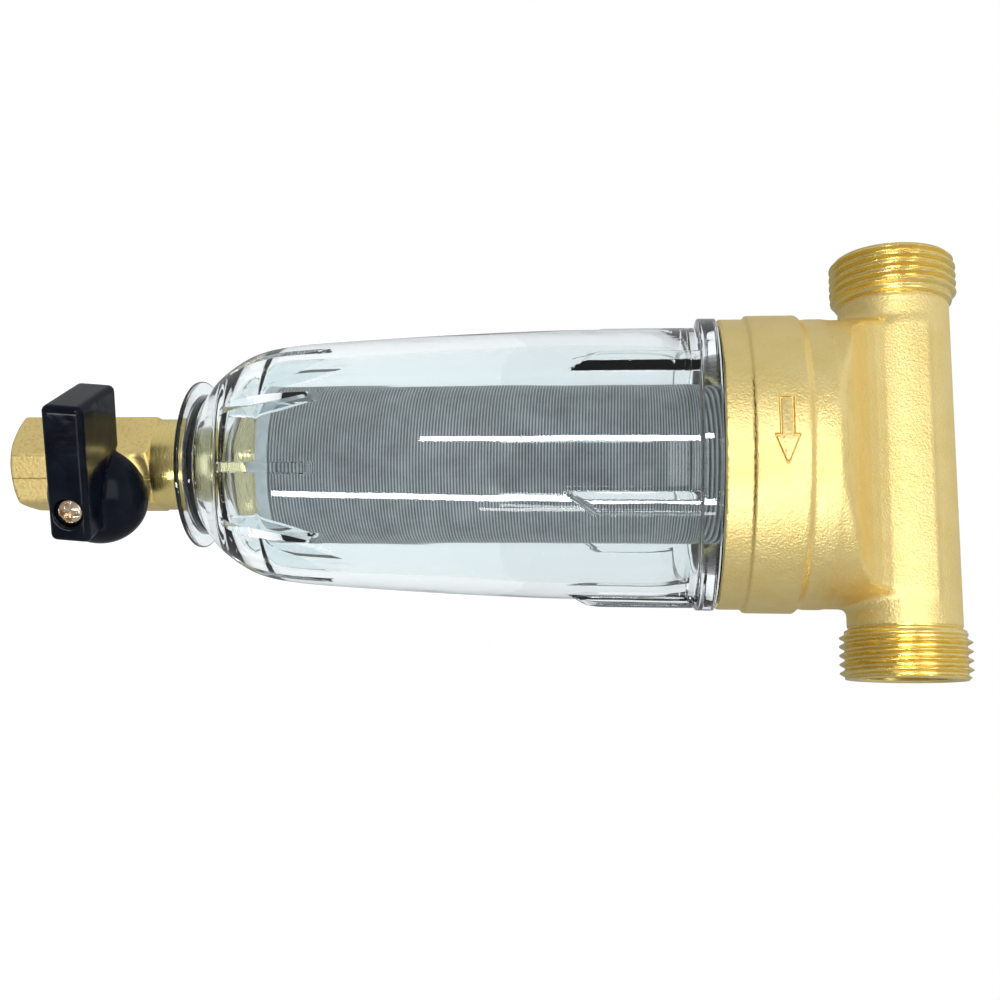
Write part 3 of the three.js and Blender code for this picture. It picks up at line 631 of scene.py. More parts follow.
def surface_nets(field, low, step):
    """Vertices and quads of the zero level of a distance field, in millimetres."""
    inside = field < 0
    cells = [n - 1 for n in field.shape]
    size = int(np.prod(cells))
    total, count = np.zeros((size, 3)), np.zeros(size)
    rings = []
    for axis in range(3):
        b, c = (axis + 1) % 3, (axis + 2) % 3
        near, far = [slice(None)] * 3, [slice(None)] * 3
        near[axis], far[axis] = slice(None, -1), slice(1, None)
        start = np.argwhere(inside[tuple(near)] != inside[tuple(far)])
        end = start.copy()
        end[:, axis] += 1
        f0, f1 = field[tuple(start.T)], field[tuple(end.T)]
        point = start.astype(float)
        point[:, axis] += f0 / (f0 - f1)
        ring = []
        for db, dc in ((-1, -1), (0, -1), (0, 0), (-1, 0)):
            cell = start.copy()
            cell[:, b] += db
            cell[:, c] += dc
            flat = np.ravel_multi_index(tuple(cell.T), cells)
            ring.append(flat)
            count += np.bincount(flat, minlength=size)
            for k in range(3):
                total[:, k] += np.bincount(flat, weights=point[:, k], minlength=size)
        ring = np.array(ring).T
        outward = f0 < 0
        rings.append(np.where(outward[:, None], ring, ring[:, ::-1]))
    used = np.flatnonzero(count)
    index = np.full(size, -1)
    index[used] = np.arange(len(used))
    vertices = np.array(low) + step * total[used] / count[used, None]
    return vertices, index[np.concatenate(rings)]


# ---- Meshes


def new_object(name, vertices, faces, material):
    """A mesh object in metres from vertices in millimetres, its faces turned outwards."""
    vertices = np.asarray(vertices, float) * MM
    corners = np.concatenate([np.asarray(face) for face in faces])
    sizes = np.array([len(face) for face in faces])
    starts = np.cumsum(sizes) - sizes
    first = np.repeat(corners[starts], sizes)
    after = np.roll(corners, -1)
    after[starts + sizes - 1] = corners[starts]
    a, b, c = vertices[first], vertices[corners], vertices[after]
    if np.einsum("ij,ij->", a, np.cross(b, c)) < 0:
        backwards = 2 * np.repeat(starts, sizes) + np.repeat(sizes, sizes) - 1 - np.arange(len(corners))
        corners = corners[backwards]
    mesh = bpy.data.meshes.new(name)
    mesh.vertices.add(len(vertices))
    mesh.vertices.foreach_set("co", vertices.ravel())
    mesh.loops.add(len(corners))
    mesh.loops.foreach_set("vertex_index", corners)
    mesh.polygons.add(len(sizes))
    mesh.polygons.foreach_set("loop_start", starts)
    mesh.update(calc_edges=True)
    mesh.materials.append(material)
    return placed(name, mesh)


def melted(name, field, low, high, step, material):
    """A solid from a distance field of x, y and z, sampled inside a box."""
    return new_object(name, *surface_nets(field(*lattice(low, high, step)), low, step), material)


def turned(name, outline, material, segments=128):
    """A solid of revolution about Z, from a closed outline of [radius, z] points."""
    angles = np.arange(segments) * TURN / segments
    vertices, rows = [], []
    for r, z in outline:
        count = 1 if r < 1e-6 else segments
        rows.append(range(len(vertices), len(vertices) + count))
        vertices.extend(zip(r * np.cos(angles[:count]), r * np.sin(angles[:count]), np.full(count, z)))
    faces = []
    for lower, upper in zip(rows, rows[1:] + rows[:1]):
        if len(lower) + len(upper) == 2:
            continue
        for j in range(segments):
            after = (j + 1) % segments
            if len(lower) == 1:
                faces.append((lower[0], upper[after], upper[j]))
            elif len(upper) == 1:
                faces.append((lower[j], lower[after], upper[0]))
            else:
                faces.append((lower[j], lower[after], upper[after], upper[j]))
    return new_object(name, vertices, faces, material)


def bar(name, radius, low, high, material, segments):
    """A round bar about Z between two heights."""
    return turned(name, [(0, low), (radius, low), (radius, high), (0, high)], material, segments)


def loom(name, points, material):
    """A closed ring-like skin over points[row, column, xyz], joined up in both directions."""
    rows, columns = points.shape[:2]
    index = np.arange(rows * columns).reshape(rows, columns)
    on, after = np.roll(index, -1, axis=1), np.roll(index, -1, axis=0)
    faces = np.stack([index, on, np.roll(on, -1, axis=0), after], axis=-1).reshape(-1, 4)
    return new_object(name, points.reshape(-1, 3), faces, material)


def seal_ring(name, seal, material):
    """A round seal about Z."""
    radius, section, z = seal
    turn = np.arange(16) * TURN / 16
    outline = np.stack([radius + section * np.cos(turn), z + section * np.sin(turn)], axis=1)
    return turned(name, outline, material, 120)


def stacked(name, rings, material):
    """A solid over closed rings of points, one above another, with flat ends."""
    count = len(rings[0])
    index = np.arange(len(rings) * count).reshape(-1, count)
    beside = np.roll(index, -1, axis=1)
    sides = np.stack([index[:-1], beside[:-1], beside[1:], index[1:]], axis=-1).reshape(-1, 4)
    return new_object(name, np.concatenate(rings), [index[0][::-1], index[-1], *sides], material)


def carve(base, operation, *tools):
    """Joins the tools to the base, or cuts them from it, and removes them."""
    for tool in tools:
        step = base.modifiers.new("carve", "BOOLEAN")
        step.operation = operation
        step.solver = "MANIFOLD"
        step.material_mode = "TRANSFER"
        step.object = tool
    bpy.context.view_layer.update()
    graph = bpy.context.evaluated_depsgraph_get()
    done = bpy.data.meshes.new_from_object(base.evaluated_get(graph), depsgraph=graph)
    base.modifiers.clear()
    base.data = done
    for tool in tools:
        bpy.data.objects.remove(tool)


def move(made, matrix):
    """Moves an object's own mesh, in millimetres, and leaves the object at the origin."""
    to_metres = Matrix.Scale(MM, 4)
    made.data.transform(to_metres @ matrix @ to_metres.inverted())
    return made


def along_x(made):
    """Lays what was made about Z along +X."""
    return move(made, Matrix.Rotation(TURN / 4, 4, "Y"))


def finish(made, body, nodes, sharp=38):
    """Smooth shading with crisp edges, and the CAD body and nodes that the piece belongs to."""
    made.data.shade_smooth()
    made.data.set_sharp_from_angle(angle=math.radians(sharp))
    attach(made, body)
    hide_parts(*nodes)


# ---- Head


def thread_height(phase, flank=0.42):
    """Height of a rounded V thread, 0 to 1, over its phase in turns."""
    rise = 1 - np.abs(2 * (phase % 1) - 1)
    height = np.clip((rise - (0.5 - flank)) / (2 * flank), 0, 1)
    return 0.8 * height + 0.2 * height * height * (3 - 2 * height)


def pipe_end(material):
    """One end of the pipe about Z, from inside the head: a helical thread and a chamfered rim."""
    columns, step = 144, 0.13
    chamfer, fade, cut = 1.3, THREAD_PITCH * 0.6, 0.3
    heights = np.linspace(THREAD_START, PIPE_END, round((PIPE_END - THREAD_START) / step) + 1)
    angles = np.arange(columns) * TURN / columns
    z, angle = np.meshgrid(heights, angles, indexing="ij")
    grown = np.clip((z - THREAD_START) / fade, 0, 1)
    turns = (z - THREAD_START) / THREAD_PITCH - angle / TURN
    crest = np.clip((1 + cut) * thread_height(turns, 0.5) - cut, 0, 1)
    r = THREAD_ROOT_R + (THREAD_CREST_R - THREAD_ROOT_R) * grown * crest
    r = np.minimum(r, THREAD_CREST_R - 0.15 - np.maximum(z - (PIPE_END - chamfer), 0))
    core = PIPE_R - 0.25
    root = [(core, THREAD_START - 4), (core, THREAD_START - 0.9), (THREAD_ROOT_R, THREAD_START - 0.35)]
    root = np.array(root)
    r = np.concatenate([np.repeat(root[:, :1], columns, axis=1), r])
    z = np.concatenate([np.repeat(root[:, 1:], columns, axis=1), z])
    return stacked("end", np.stack([r * np.cos(angles), r * np.sin(angles), z], axis=-1), material)


def quadratic(a, b, c, steps=6):
    """Points on a curve from a to c that pulls towards b, without its first point."""
    a, b, c = (np.array(p, float) for p in (a, b, c))
    return [tuple(a * (1 - t) ** 2 + b * 2 * t * (1 - t) + c * t * t)
            for t in (i / steps for i in range(1, steps + 1))]


def casting_field(x, y, z):
    """Distance field of the head's outside: skirt, shoulder and pipe melted together."""
    r = np.sqrt(x * x + y * y)
    skirt_profile = [
        (0, SKIRT_BOTTOM), (SKIRT_R, SKIRT_BOTTOM), (SKIRT_R, BAND_Z[0]),
        (BAND_R, BAND_Z[0] + 0.5), (BAND_R, BAND_Z[1] - 0.7), (GROOVE_R, BAND_Z[1] + 0.9),
        (SHOULDER_R, SHOULDER_Z), (SHOULDER_R, -21), (36.8, -19), (0, -19),
    ]
    spacing = 0.2
    samples = np.arange(0, r.max() + 2 * spacing, spacing)
    table = outline_distance(skirt_profile, samples[:, None], z.reshape(1, -1))
    place = r / spacing
    cell = np.clip(place.astype(int), 0, len(samples) - 2)
    part = place - cell
    skirt = table[cell[..., 0]] * (1 - part) + table[cell[..., 0] + 1] * part
    wide = SHOULDER_R + 2
    half = [(0, SHOULDER_Z - 2), (wide, SHOULDER_Z - 2), (wide, -22.6), (36.6, -20.2)]
    half += quadratic(half[-1], (33.4, -17.6), (28.6, -15.6))
    half += quadratic(half[-1], (16.6, -12.4), (14.3, -2.4))
    half += [(13.2, 5.6)]
    section = half + [(-u, v) for u, v in half[:0:-1]]
    blend = outline_distance(section, y[0], z[0])[None]
    blend = blend_max(blend, r - SHOULDER_R, 1.6)
    pipe = np.maximum(np.sqrt(y * y + z * z) - PIPE_R, np.abs(x) - (THREAD_START - 1.2))
    upper = blend_min(blend, pipe, 2.2)
    return blend_min(upper, skirt, 1.0)


def arrow_outline(grow):
    """The flow arrow's outline, pointing along +x, grown by some millimetres."""
    tail, neck, tip = ARROW_TAIL - grow, ARROW_NECK - grow, ARROW_TIP + 1.2 * grow
    shaft, wing = ARROW_SHAFT + grow, ARROW_WING + grow
    return rounded([
        (tail, -shaft, 0.3), (neck, -shaft), (neck, -wing, 0.5), (tip, 0, 0.5),
        (neck, wing, 0.5), (neck, shaft), (tail, shaft, 0.3),
    ], 3)


def flow_arrow(name, layers, material):
    """A prism of the flow arrow on the front of the skirt, by layers of radius and growth."""
    rings = []
    for radius, grow in layers:
        rings.append([(x, -math.sqrt(radius ** 2 - x * x), ARROW_Z + z) for x, z in arrow_outline(grow)])
    return stacked(name, rings, material)


def make_head(cast, machined):
    """The brass head: cast outside, threaded ends, ports and the threaded chamber for the bowl."""
    low = (-THREAD_START - 1, -BAND_R - 2, SKIRT_BOTTOM - 1.5)
    high = (THREAD_START + 1, BAND_R + 2, PIPE_R + 2)
    head = melted("head", casting_field, low, high, 0.5, cast)
    ends = []
    for turn in (0, TURN / 2):
        ends.append(move(along_x(pipe_end(machined)), Matrix.Rotation(turn, 4, "Z")))
    moat = flow_arrow("moat", [(BAND_R - 0.45, 0.25), (BAND_R, 0.55), (BAND_R + 2, 0.65)], cast)
    arrow = flow_arrow("arrow", [
        (BAND_R - 3, 0.1), (BAND_R, 0), (BAND_R + 0.4, -0.1), (BAND_R + 0.5, -0.25),
    ], cast)
    carve(head, "DIFFERENCE", moat)
    carve(head, "UNION", *ends, arrow)

    ridges = []
    for i in range(BOWL_THREAD_TURNS * 2):
        ridges.append((SKIRT_THREAD_R[i % 2], BOWL_THREAD_BOTTOM + i * BOWL_THREAD_PITCH / 2))
    chamber = turned("chamber", [
        (0, SKIRT_BOTTOM - 1), (SEAL_SEAT_R + 0.4, SKIRT_BOTTOM - 1), (SEAL_SEAT_R + 0.4, SKIRT_BOTTOM),
        (SEAL_SEAT_R, SKIRT_BOTTOM + 0.4), (SEAL_SEAT_R, BOWL_THREAD_BOTTOM - 1.6), *ridges,
        (SKIRT_THREAD_R[0], CEILING - 1.5), (SKIRT_THREAD_R[0] - 1.5, CEILING), (0, CEILING),
    ], machined, 144)

    def port(name, inner, bevel=0.5):
        wide = PORT_R + bevel
        return along_x(turned(name, [
            (0, inner), (PORT_R, inner), (PORT_R, PIPE_END - bevel), (wide, PIPE_END),
            (wide, PIPE_END + 1), (0, PIPE_END + 1),
        ], machined, 96))

    outlet = port("outlet", OUTLET_START)
    inlet = move(port("inlet", INLET_START), Matrix.Rotation(TURN / 2, 4, "Z"))
    drop = bar("drop", INLET_DROP_R, CEILING - 1, 0, cast, 64)
    move(drop, Matrix.Translation((INLET_DROP_X, 0, 0)))
    centre = bar("centre", CENTRE_PORT_R, CEILING - 1, CENTRE_PORT_TOP, machined, 96)
    rise = bar("rise", PORT_R - 0.05, CENTRE_PORT_TOP - 1, 0, cast, 72)
    move(rise, Matrix.Translation((OUTLET_START, 0, 0)))
    carve(head, "DIFFERENCE", chamber, outlet, inlet, drop, centre, rise)
    finish(head, "head", ["head_casting"])


# ---- Bowl


def spline(points, spacing):
    """A smooth line through [r, z] points, sampled about every spacing."""
    points = [np.array(p, float) for p in points]
    ends = [2 * points[0] - points[1]] + points + [2 * points[-1] - points[-2]]
    out = []
    for p0, p1, p2, p3 in zip(ends, ends[1:], ends[2:], ends[3:]):
        parts = max(1, round(np.linalg.norm(p2 - p1) / spacing))
        for i in range(parts):
            t = i / parts
            out.append(0.5 * (2 * p1 + (p2 - p0) * t + (2 * p0 - 5 * p1 + 4 * p2 - p3) * t * t
                              + (3 * p1 - p0 - 3 * p2 + p3) * t ** 3))
    out.append(points[-1])
    return np.array(out)


def rib_angles(count, offset):
    """The directions of evenly spaced ribs, the first one turned by some degrees from -Y."""
    return [math.radians(offset - 90 + 360 / count * i) for i in range(count)]


def bowl_columns():
    """Angles of the bowl's mesh columns, closer together at the ribs."""
    angles = [TURN * i / BOWL_COLUMNS for i in range(BOWL_COLUMNS)]
    reach = GRIP_WIDTH / 2 + 0.3
    for middle in rib_angles(GRIP_RIBS, GRIP_OFFSET):
        angles += [middle + s / BOWL_R for s in np.linspace(-reach, reach, 17)]
    half = FLOOR_RIB_WIDTH / 2
    across = [side * (half + past) for side in (-1, 1) for past in (0.35, 0.1, -0.1)] + [0]
    for middle in rib_angles(FLOOR_RIBS, FLOOR_RIB_OFFSET):
        angles += [middle + s / FLOOR_RIB_R for s in across]
    angles = np.sort(np.array(angles) % TURN)
    closest = 0.0022
    keep = np.concatenate([[True], np.diff(angles) > closest])
    return angles[keep]


def angle_from(angles, middle):
    """Signed angles from a direction, between minus and plus half a turn."""
    return (angles - middle + TURN / 2) % TURN - TURN / 2


def grip_height(angles, z):
    """How far the pointed grip pads stand out at each angle and height."""
    total = np.zeros(np.broadcast(angles, z).shape)
    half = GRIP_WIDTH / 2
    slope = math.hypot(1, GRIP_SLANT / GRIP_WIDTH)
    run_out = np.clip((z - GRIP_TIP + 1) / GRIP_RUN_OUT, 0, 1)
    for middle in rib_angles(GRIP_RIBS, GRIP_OFFSET):
        point_side = 1 if math.sin(2 * middle) > 0 else -1
        s = angle_from(angles, middle) * BOWL_R * point_side
        edge = GRIP_TIP + GRIP_SLANT * (half - s) / GRIP_WIDTH
        inside = np.minimum(half - np.abs(s), (z - edge) / slope)
        share = np.clip(inside / GRIP_BEVEL, 0, 1)
        total = np.maximum(total, (GRIP_R - BOWL_R) * np.minimum(share, run_out))
    return total


def bowl_outline():
    """The bowl's closed outline in runs of [r, z] points: thread to dome, neck, inside and mouth."""
    under_flange = FLANGE_Z[0] - 2
    collar = rounded([
        (BOWL_THREAD_R[0], BOWL_THREAD_BOTTOM - 1.2), (BOWL_THREAD_R[0], FLANGE_Z[1], 0.4),
        (FLANGE_R, FLANGE_Z[1], 0.5), (FLANGE_R, FLANGE_Z[0], 0.5),
        (BOWL_R, FLANGE_Z[0], 0.7), (BOWL_R, under_flange),
    ], 5)[:-1]
    outside = spline([
        (BOWL_R, under_flange), (BOWL_R, -72), (36.05, -90), (35.5, -108), (34.7, -127), (33.3, -152),
        (32.4, -162), (31.1, -169), (28.8, -174.5), (24.9, -180.2), (21.6, -183.3), NECK_TOP,
    ], 1.3)
    heights = np.concatenate([
        np.arange(under_flange - 0.5, GRIP_TIP + 10, -1.5), np.arange(GRIP_TIP + 9.5, GRIP_TIP - 2, -0.42),
    ])
    upper_wall = np.stack([np.interp(-heights, -outside[:, 1], outside[:, 0]), heights], axis=1)
    dome = outside[outside[:, 1] <= GRIP_TIP - 2]
    neck = rounded([
        NECK_TOP, (19.4, -187.6, 0.15), (LIP_R, -187.7, 0.3), (LIP_R, NECK_BOTTOM, 0.5),
        (NECK_BORE_R, NECK_BOTTOM, 0.5), (NECK_BORE_R, SPIGOT_TOP + 0.3), (TAIL_BORE_R, SPIGOT_TOP + 0.3),
        (TAIL_BORE_R, FLOOR, 0.3), (14.4, FLOOR),
    ], 5)[1:]
    inside = spline([
        (19.4, FLOOR), (22.8, -174.8), (25.6, -171.2), (27.4, -166.2), (28.6, -160),
        (30.4, -127), (31.8, -95), (BOWL_R - WALL, -78), (BOWL_R - WALL, -64), (31.2, -57),
        (30.1, -50), (MOUTH_R, -43),
    ], 1.3)
    mouth = rounded([
        (MOUTH_R, -42), (MOUTH_R, BOWL_TOP, 0.6),
        (BOWL_THREAD_R[0], BOWL_TOP, 0.6), (BOWL_THREAD_R[0], BOWL_TOP - 5),
    ], 4)[:-1]
    thread_rows = np.arange(BOWL_TOP - 0.6, BOWL_THREAD_BOTTOM - 0.8, -0.42)
    thread = np.stack([np.full(len(thread_rows), BOWL_THREAD_R[0]), thread_rows], axis=1)
    return thread, collar, upper_wall, dome, divided(neck, 1.5), inside, mouth


def make_bowl(clear):
    """The clear bowl in one skin: helical thread, flange, grip pads, domed end, neck and inner ribs."""
    angles = bowl_columns()
    thread, collar, upper_wall, dome, neck, inside, mouth = bowl_outline()
    outer = np.concatenate([thread, collar, upper_wall, dome, neck])
    path = np.concatenate([outer, inside, mouth])
    r = np.repeat(path[:, :1], len(angles), axis=1)
    z = np.repeat(path[:, 1:], len(angles), axis=1)

    turns = slice(0, len(thread))
    phase = (z[turns] - BOWL_THREAD_BOTTOM) / BOWL_THREAD_PITCH - angles / TURN
    ends = np.clip((z[turns] - BOWL_THREAD_BOTTOM + 0.6) / 1.5, 0, 1)
    r[turns] += (BOWL_THREAD_R[1] - BOWL_THREAD_R[0]) * thread_height(phase, 0.35) * ends

    fillet_rows, tip_rows = 3, 2
    below_thread = len(thread) + len(collar)
    grips = slice(below_thread - fillet_rows, below_thread + len(upper_wall) + tip_rows)
    r[grips] += grip_height(angles[None, :], z[grips])

    fin = np.array([(22.4, -177.0), (22.4, -168), (25.2, -160), (29.4, -150), (31, -148)])
    floor = slice(len(outer), len(outer) + len(inside))
    reach = np.interp(z[floor], fin[:, 1], fin[:, 0], right=BOWL_R)
    for middle in rib_angles(FLOOR_RIBS, FLOOR_RIB_OFFSET):
        on = np.abs(angle_from(angles, middle)) * FLOOR_RIB_R < FLOOR_RIB_WIDTH / 2
        r[floor] = np.where(on[None, :], np.minimum(r[floor], reach), r[floor])
    made = loom("clear_bowl", np.stack([r * np.cos(angles), r * np.sin(angles), z], axis=-1), clear)
    finish(made, "bowl", ["bowl"], 50)


# ---- Screen


def make_screen(steel, plastic, rubber):
    """The wire sleeve with its rings as real ridges, its end cap and its top collar."""
    top, bottom = screen_high[2], screen_low[2]
    wire = [(1, -0.38), (0.3, -0.2), (0, 0), (0.3, 0.2), (1, 0.38)]
    outline = [(SCREEN_R - SCREEN_WALL, bottom), (SCREEN_R - WIRE_RELIEF, bottom)]
    for i in range(int((top - bottom) / WIRE_PITCH)):
        z = bottom + (i + 0.5) * WIRE_PITCH
        outline += [(SCREEN_R - sunk * WIRE_RELIEF, z + up * WIRE_PITCH) for sunk, up in wire]
    outline += [(SCREEN_R - WIRE_RELIEF, top), (SCREEN_R - SCREEN_WALL, top)]
    sleeve = turned("wire_sleeve", outline, steel, 96)
    finish(sleeve, "head", ["screen_mesh"], 70)

    cap = turned("end_cap", rounded([
        (0, -168.4), (SCREEN_R, -168.4, 1.2), (SCREEN_R, bottom - 0.3, 0.3), (18.7, bottom - 0.3),
        (18.7, -158), (17.2, -158), (17.2, -165.4, 0.6), (0, -165.4),
    ]), plastic)
    finish(cap, "head", ["screen_end_cap"])

    low, high = COLLAR_SEAL[2] - 1.1, COLLAR_SEAL[2] + 1.1
    collar = turned("top_collar", rounded([
        (11.6, -15), (14.2, -15, 0.6), (14.2, high), (12.5, high), (12.5, low), (14.2, low),
        (14.2, CEILING - 0.4, 0.3), (22.3, CEILING - 0.4, 0.5), (22.3, top + 0.3, 0.3), (20.6, top + 0.3),
        (20.6, top - 7.6), (18.8, top - 7.6), (18.8, top), (11.6, top + 1),
    ]), plastic)
    finish(collar, "head", ["screen_top_collar"])
    finish(seal_ring("collar_seal", COLLAR_SEAL, rubber), "head", ["screen_collar_seal"])


# ---- Drain valve

VALVE_TURN = Matrix.Rotation(STEM_ANGLE, 4, "Z")
HANDLE_PLACE = VALVE_TURN @ Matrix.Translation((0, 0, VALVE_Z)) @ Matrix.Rotation(HANDLE_TILT, 4, "Y")
OUTWARD = Matrix.Rotation(TURN / 4, 4, "X")


def hexagon_distance(x, y, flat_r, corner_angle):
    """Distance field of an endless hexagon bar about Z."""
    flats = [corner_angle + TURN * (i + 0.5) / 6 for i in range(6)]
    sides = [x * math.sin(a) - y * math.cos(a) for a in flats]
    out = sides[0]
    for side in sides[1:]:
        out = blend_max(out, side, HEX_EDGE)
    return out - flat_r


def chamfer_distance(r, z, face_r, low, high, slope):
    """Distance field of the body whose cones chamfer both ends of a bar."""
    tilt = 1 / math.hypot(1, 1 / slope)
    widest = (r - face_r) * slope
    top, bottom = (z - high + widest) * tilt / slope, (low - z + widest) * tilt / slope
    return np.maximum(np.maximum(top, bottom), np.maximum(z - high, low - z))


def valve_field(x, y, z):
    """Distance field of the valve's outside, with its stem boss towards -Y."""
    r = np.sqrt(x * x + y * y)
    hexagon = hexagon_distance(x, y, HEX_FLAT_R, TURN / 12)
    hexagon = blend_max(hexagon, chamfer_distance(r, z, HEX_FLAT_R - 0.2, *HEX_Z, 0.5), 0.3)
    around = np.sqrt(x * x + (z - VALVE_Z) ** 2)
    taper = BOSS_R + np.clip((BOSS_FACE + y) / BOSS_TAPER, 0, 1)
    boss = blend_max(around - taper, -y - BOSS_FACE, 0.8)
    boss = np.maximum(boss, y + 4)
    return blend_min(hexagon, boss, 2.6)


def nut_field(x, y, z):
    """Distance field of the locknut without its hole."""
    sides = hexagon_distance(x, y, NUT_FLAT_R, STEM_ANGLE - TURN / 12)
    return blend_max(sides, chamfer_distance(np.sqrt(x * x + y * y), z, NUT_FLAT_R, *NUT_Z, 0.35), 0.25)


def groove(seal):
    """The ring that cuts one seal's groove in the spigot."""
    radius, section, z = seal
    inner = radius - section - 0.15
    return [(inner, z - section - 0.2), (SPIGOT_R + 1, z - section - 0.2),
            (SPIGOT_R + 1, z + section + 0.2), (inner, z + section + 0.2)]


def pressed_seal(name, seal, rubber):
    """A round seal pressed flat against the bowl's bore."""
    radius, section, z = seal
    outer = WET_R + SQUEEZE
    inner = radius - section
    return turned(name, rounded([
        (inner, z - section, section * 0.6), (outer, z - section, 0.1),
        (outer, z + section, 0.1), (inner, z + section, section * 0.6),
    ]), rubber)


def make_valve(forged, polished, shaded_brass):
    """Valve body: stamped hexagon with its stem boss, polished collar and the spigot in the bowl's neck."""
    low = (-16, -BOSS_FACE - 1.5, HEX_Z[0] - 1.5)
    body = melted("valve", valve_field, low, (16, 16, HEX_Z[1] + 1.5), 0.35, forged)
    collar = turned("collar", rounded([
        (0, HEX_Z[1] - 2), (SPIGOT_R - 1.5, HEX_Z[1] - 2), (SPIGOT_R - 1.5, HEX_Z[1] - 0.3),
        (SPIGOT_R, HEX_Z[1] - 0.3, 0.2), (SPIGOT_R, NECK_BOTTOM + 0.1), (0, NECK_BOTTOM + 0.1),
    ]), polished)
    # The spigot takes the brass with painted shade, a darker copy for the part seen through the bowl.
    spigot = turned("spigot", rounded([
        (0, NECK_BOTTOM - 0.2), (SPIGOT_R - 0.1, NECK_BOTTOM - 0.2), (WET_R, NECK_BOTTOM + 0.15),
        (WET_R, SPIGOT_TOP), (TAIL_R, SPIGOT_TOP), (TAIL_R, TAIL_TOP, 0.7), (0, TAIL_TOP),
    ]), shaded_brass)
    carve(body, "UNION", collar, spigot)
    chamber = turned("chamber", [
        (0, HEX_Z[0] - 1), (10.8, HEX_Z[0] - 1), (10.2, HEX_Z[0] + 0.3), (BALL_CHAMBER_R, HEX_Z[0] + 1),
        (BALL_CHAMBER_R, VALVE_Z + 8.2), (DRAIN_BORE_R, VALVE_Z + 8.2), (DRAIN_BORE_R, TAIL_TOP - 0.5),
        (DRAIN_BORE_R + 0.5, TAIL_TOP + 1), (0, TAIL_TOP + 1),
    ], polished, 96)
    stem_hole = turned("stem_hole", [
        (0, 4), (5.1, 4), (5.1, 11.2), (4.25, 11.2), (4.25, 20), (0, 20),
    ], polished, 64)
    move(stem_hole, Matrix.Translation((0, 0, VALVE_Z)) @ OUTWARD)
    grooves = [turned("groove", groove(seal), polished) for seal in (THICK_SEAL, THIN_SEAL)]
    carve(body, "DIFFERENCE", chamber, stem_hole, *grooves)
    move(body, VALVE_TURN)
    finish(body, "bowl", ["valve_body"])


def make_neck_parts(polished, shaded_brass, fibre, rubber):
    """Locknut and washer on the bowl's floor, the two seals in its neck, the one above its flange."""
    # The locknut takes the brass with painted shade, a darker copy for the part seen through the bowl.
    nut = melted("locknut", nut_field, (-20, -20, NUT_Z[0] - 1), (20, 20, NUT_Z[1] + 1), 0.35, shaded_brass)
    carve(nut, "DIFFERENCE", bar("hole", TAIL_R + 0.35, NUT_Z[0] - 1, NUT_Z[1] + 1, polished, 96))
    finish(nut, "bowl", ["drain_locknut"])

    inner, outer = TAIL_R + 0.4, NUT_WASHER_R
    low, high = NUT_WASHER_Z
    washer = turned("nut_washer", rounded([
        (inner, low, 0.15), (outer, low, 0.15), (outer, high, 0.15), (inner, high, 0.15),
    ]), fibre)
    finish(washer, "bowl", ["locknut_washer"])
    finish(pressed_seal("thick_seal", THICK_SEAL, rubber), "bowl", ["drain_seal_thick"])
    finish(pressed_seal("thin_seal", THIN_SEAL, rubber), "bowl", ["drain_seal_thin"])
    finish(seal_ring("bowl_seal_ring", BOWL_SEAL, rubber), "seal_ring", ["bowl_seal"])


# ---- Handle


def box_distance(x, y, z, low, high, edge):
    """Distance field of a box with rounded edges."""
    q = [np.abs(p - (a + b) / 2) - (b - a) / 2 + edge for p, a, b in zip((x, y, z), low, high)]
    outside = np.sqrt(sum(np.maximum(part, 0) ** 2 for part in q))
    return outside + np.minimum(np.maximum(np.maximum(q[0], q[1]), q[2]), 0) - edge


def handle_field(x, y, z):
    """Distance field of the handle about +Z: rounded paddle over a domed hub, with the screw's recess."""
    half = HANDLE_WIDTH / 2
    corner = (-HANDLE_LONG_END, -half)
    paddle = box_distance(x, y, z, (*corner, HANDLE_BACK), (HANDLE_SHORT_END, half, HANDLE_FRONT), 1.7)
    arm = box_distance(x, y, z, (*corner, ARM_BACK), (ARM_START, half, HANDLE_FRONT), 1.7)
    r = np.sqrt((x - HUB_OFFSET) ** 2 + y * y)
    above_rim = np.maximum(z - HANDLE_BACK - 1.6, 0)
    dome = (np.sqrt((r / HUB_R) ** 2 + (above_rim / HUB_HEIGHT) ** 2) - 1) * HUB_HEIGHT
    hub = blend_max(dome, HANDLE_BACK - z, 0.6)
    whole = blend_min(np.minimum(paddle, arm), hub, 1.2)
    recess = np.maximum(np.sqrt(x * x + y * y) - SCREW_R - 0.35, SCREW_SEAT - z)
    return blend_max(whole, -recess, 0.5)


def screw_field(x, y, z):
    """Distance field of the domed head with its cross recess, and the shank, about +Z."""
    r = np.sqrt(x * x + y * y)
    dome = np.sqrt(r * r + (z - SCREW_TOP + SCREW_DOME_R) ** 2) - SCREW_DOME_R
    head = blend_max(blend_max(r - SCREW_R, dome, 0.3), SCREW_SEAT + 0.9 - z, 0.15)
    shank = np.maximum(r - 1.5, np.maximum(22 - z, z - SCREW_SEAT - 1.5))
    depth = np.clip((SCREW_TOP - z) / 2.4, 0, 1)
    wing, slot = 2.75 - depth, 0.8 - 0.25 * depth
    arms = [np.maximum(np.abs(a) - wing, np.abs(b) - slot) for a, b in ((x, y), (y, x))]
    cross = blend_min(np.minimum(*arms), r - 1.2, 0.5)
    recess = np.maximum(cross, SCREW_TOP - SCREW_RECESS - z)
    return blend_max(np.minimum(head, shank), -recess, 0.08)


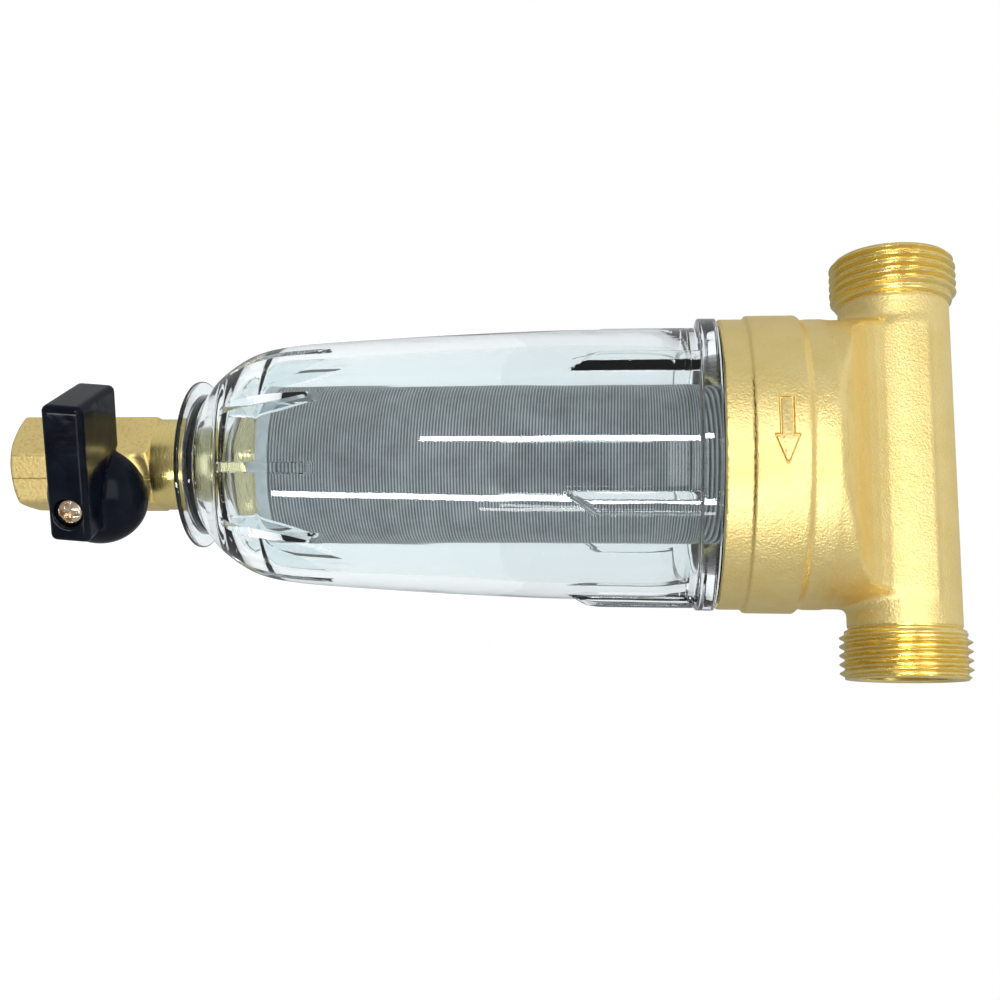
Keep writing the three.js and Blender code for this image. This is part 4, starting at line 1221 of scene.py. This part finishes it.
def make_handle(plastic, steel):
    """The black handle and its screw and washer."""
    low = (-HANDLE_LONG_END - 1, -HUB_R - 1, ARM_BACK - 1)
    high = (HUB_R + HUB_OFFSET + 1, HUB_R + 1, HANDLE_FRONT + 1)
    handle = melted("handle", handle_field, low, high, 0.36, plastic)
    square = [(-1, -1), (1, -1), (1, 1), (-1, 1)]
    ends = (HANDLE_BACK - 1, SOCKET_END)
    rings = [[(x * SOCKET_HALF, y * SOCKET_HALF, z) for x, y in square] for z in ends]
    socket = stacked("socket", rings, plastic)
    carve(handle, "DIFFERENCE", socket, bar("hole", 1.95, 29, SCREW_SEAT + 1, plastic, 48))
    head = melted("screw", screw_field, (-4, -4, 21), (4, 4, SCREW_TOP + 0.6), 0.1, steel)
    low, high = SCREW_SEAT + 0.2, SCREW_SEAT + 0.7
    washer = turned("washer", rounded([
        (1.9, low, 0.12), (3.3, low, 0.12), (3.3, high, 0.12), (1.9, high, 0.12),
    ]), steel, 64)
    for made in (handle, head, washer):
        move(made, HANDLE_PLACE @ OUTWARD)
    finish(handle, "handle", ["valve_handle"], 45)
    finish(head, "handle", ["handle_screw"], 40)
    finish(washer, "handle", ["screw_washer"])


# ---- Everything together


def repaint(node, material):
    """Gives a CAD node that stays a better material."""
    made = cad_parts[node]
    made.data.materials.clear()
    made.data.materials.append(material)


bpy.context.scene.view_settings.view_transform = "Standard"
make_camera()
make_world()
make_stage()

area_light("strip_minus_x", (-0.154, -0.97, -0.17), (0.07, 0.38), 2.9)
area_light("strip_plus_x", (0.66, -0.80, -0.30), (0.09, 0.75), 6.0)
area_light("strip_handle", (0.78, -0.68, -0.12), (0.05, 0.34), 0.55)
area_light("soft_front", (0.2, -1.0, 0.55), (0.9, 0.5), 4)

# Brass with painted shade: a darker copy of the turned brass, its tones lowered as painted shade for the
# spigot and locknut seen through the bowl.
thread_tones = (0.80, 0.60, 0.18), (0.88, 0.69, 0.25), (0.93, 0.77, 0.34)
turned_tones = (0.86, 0.66, 0.22), (0.93, 0.75, 0.28), (0.97, 0.83, 0.38)
painted_shade_tones = (0.36, 0.31, 0.15), (0.45, 0.41, 0.23), (0.55, 0.52, 0.33)
thread_brass = make_turned_brass("thread_brass", "X", thread_tones)
turned_brass = make_turned_brass("turned_brass", "Z", turned_tones)
painted_shade_brass = make_turned_brass("painted_shade_brass", "Z", painted_shade_tones)
rubber = make_rubber()
ptfe = make_ptfe()

make_head(make_cast_brass(), thread_brass)
make_bowl(make_clear_plastic())
make_screen(make_steel_mesh(), make_translucent_plastic(), rubber)
make_valve(make_forged_brass(), turned_brass, painted_shade_brass)
make_neck_parts(turned_brass, painted_shade_brass, make_fibre(), rubber)
make_handle(make_handle_plastic(), make_screw_steel())

repaint("screen_cage", make_cage_plastic())
repaint("valve_ball", make_chrome())
for seat in ("ball_seat_upper", "ball_seat_lower", "stem_thrust_washer"):
    repaint(seat, ptfe)
for part in ("seat_retainer", "valve_stem"):
    repaint(part, turned_brass)
for part in ("stem_seal_inner", "stem_seal_outer"):
    repaint(part, rubber)
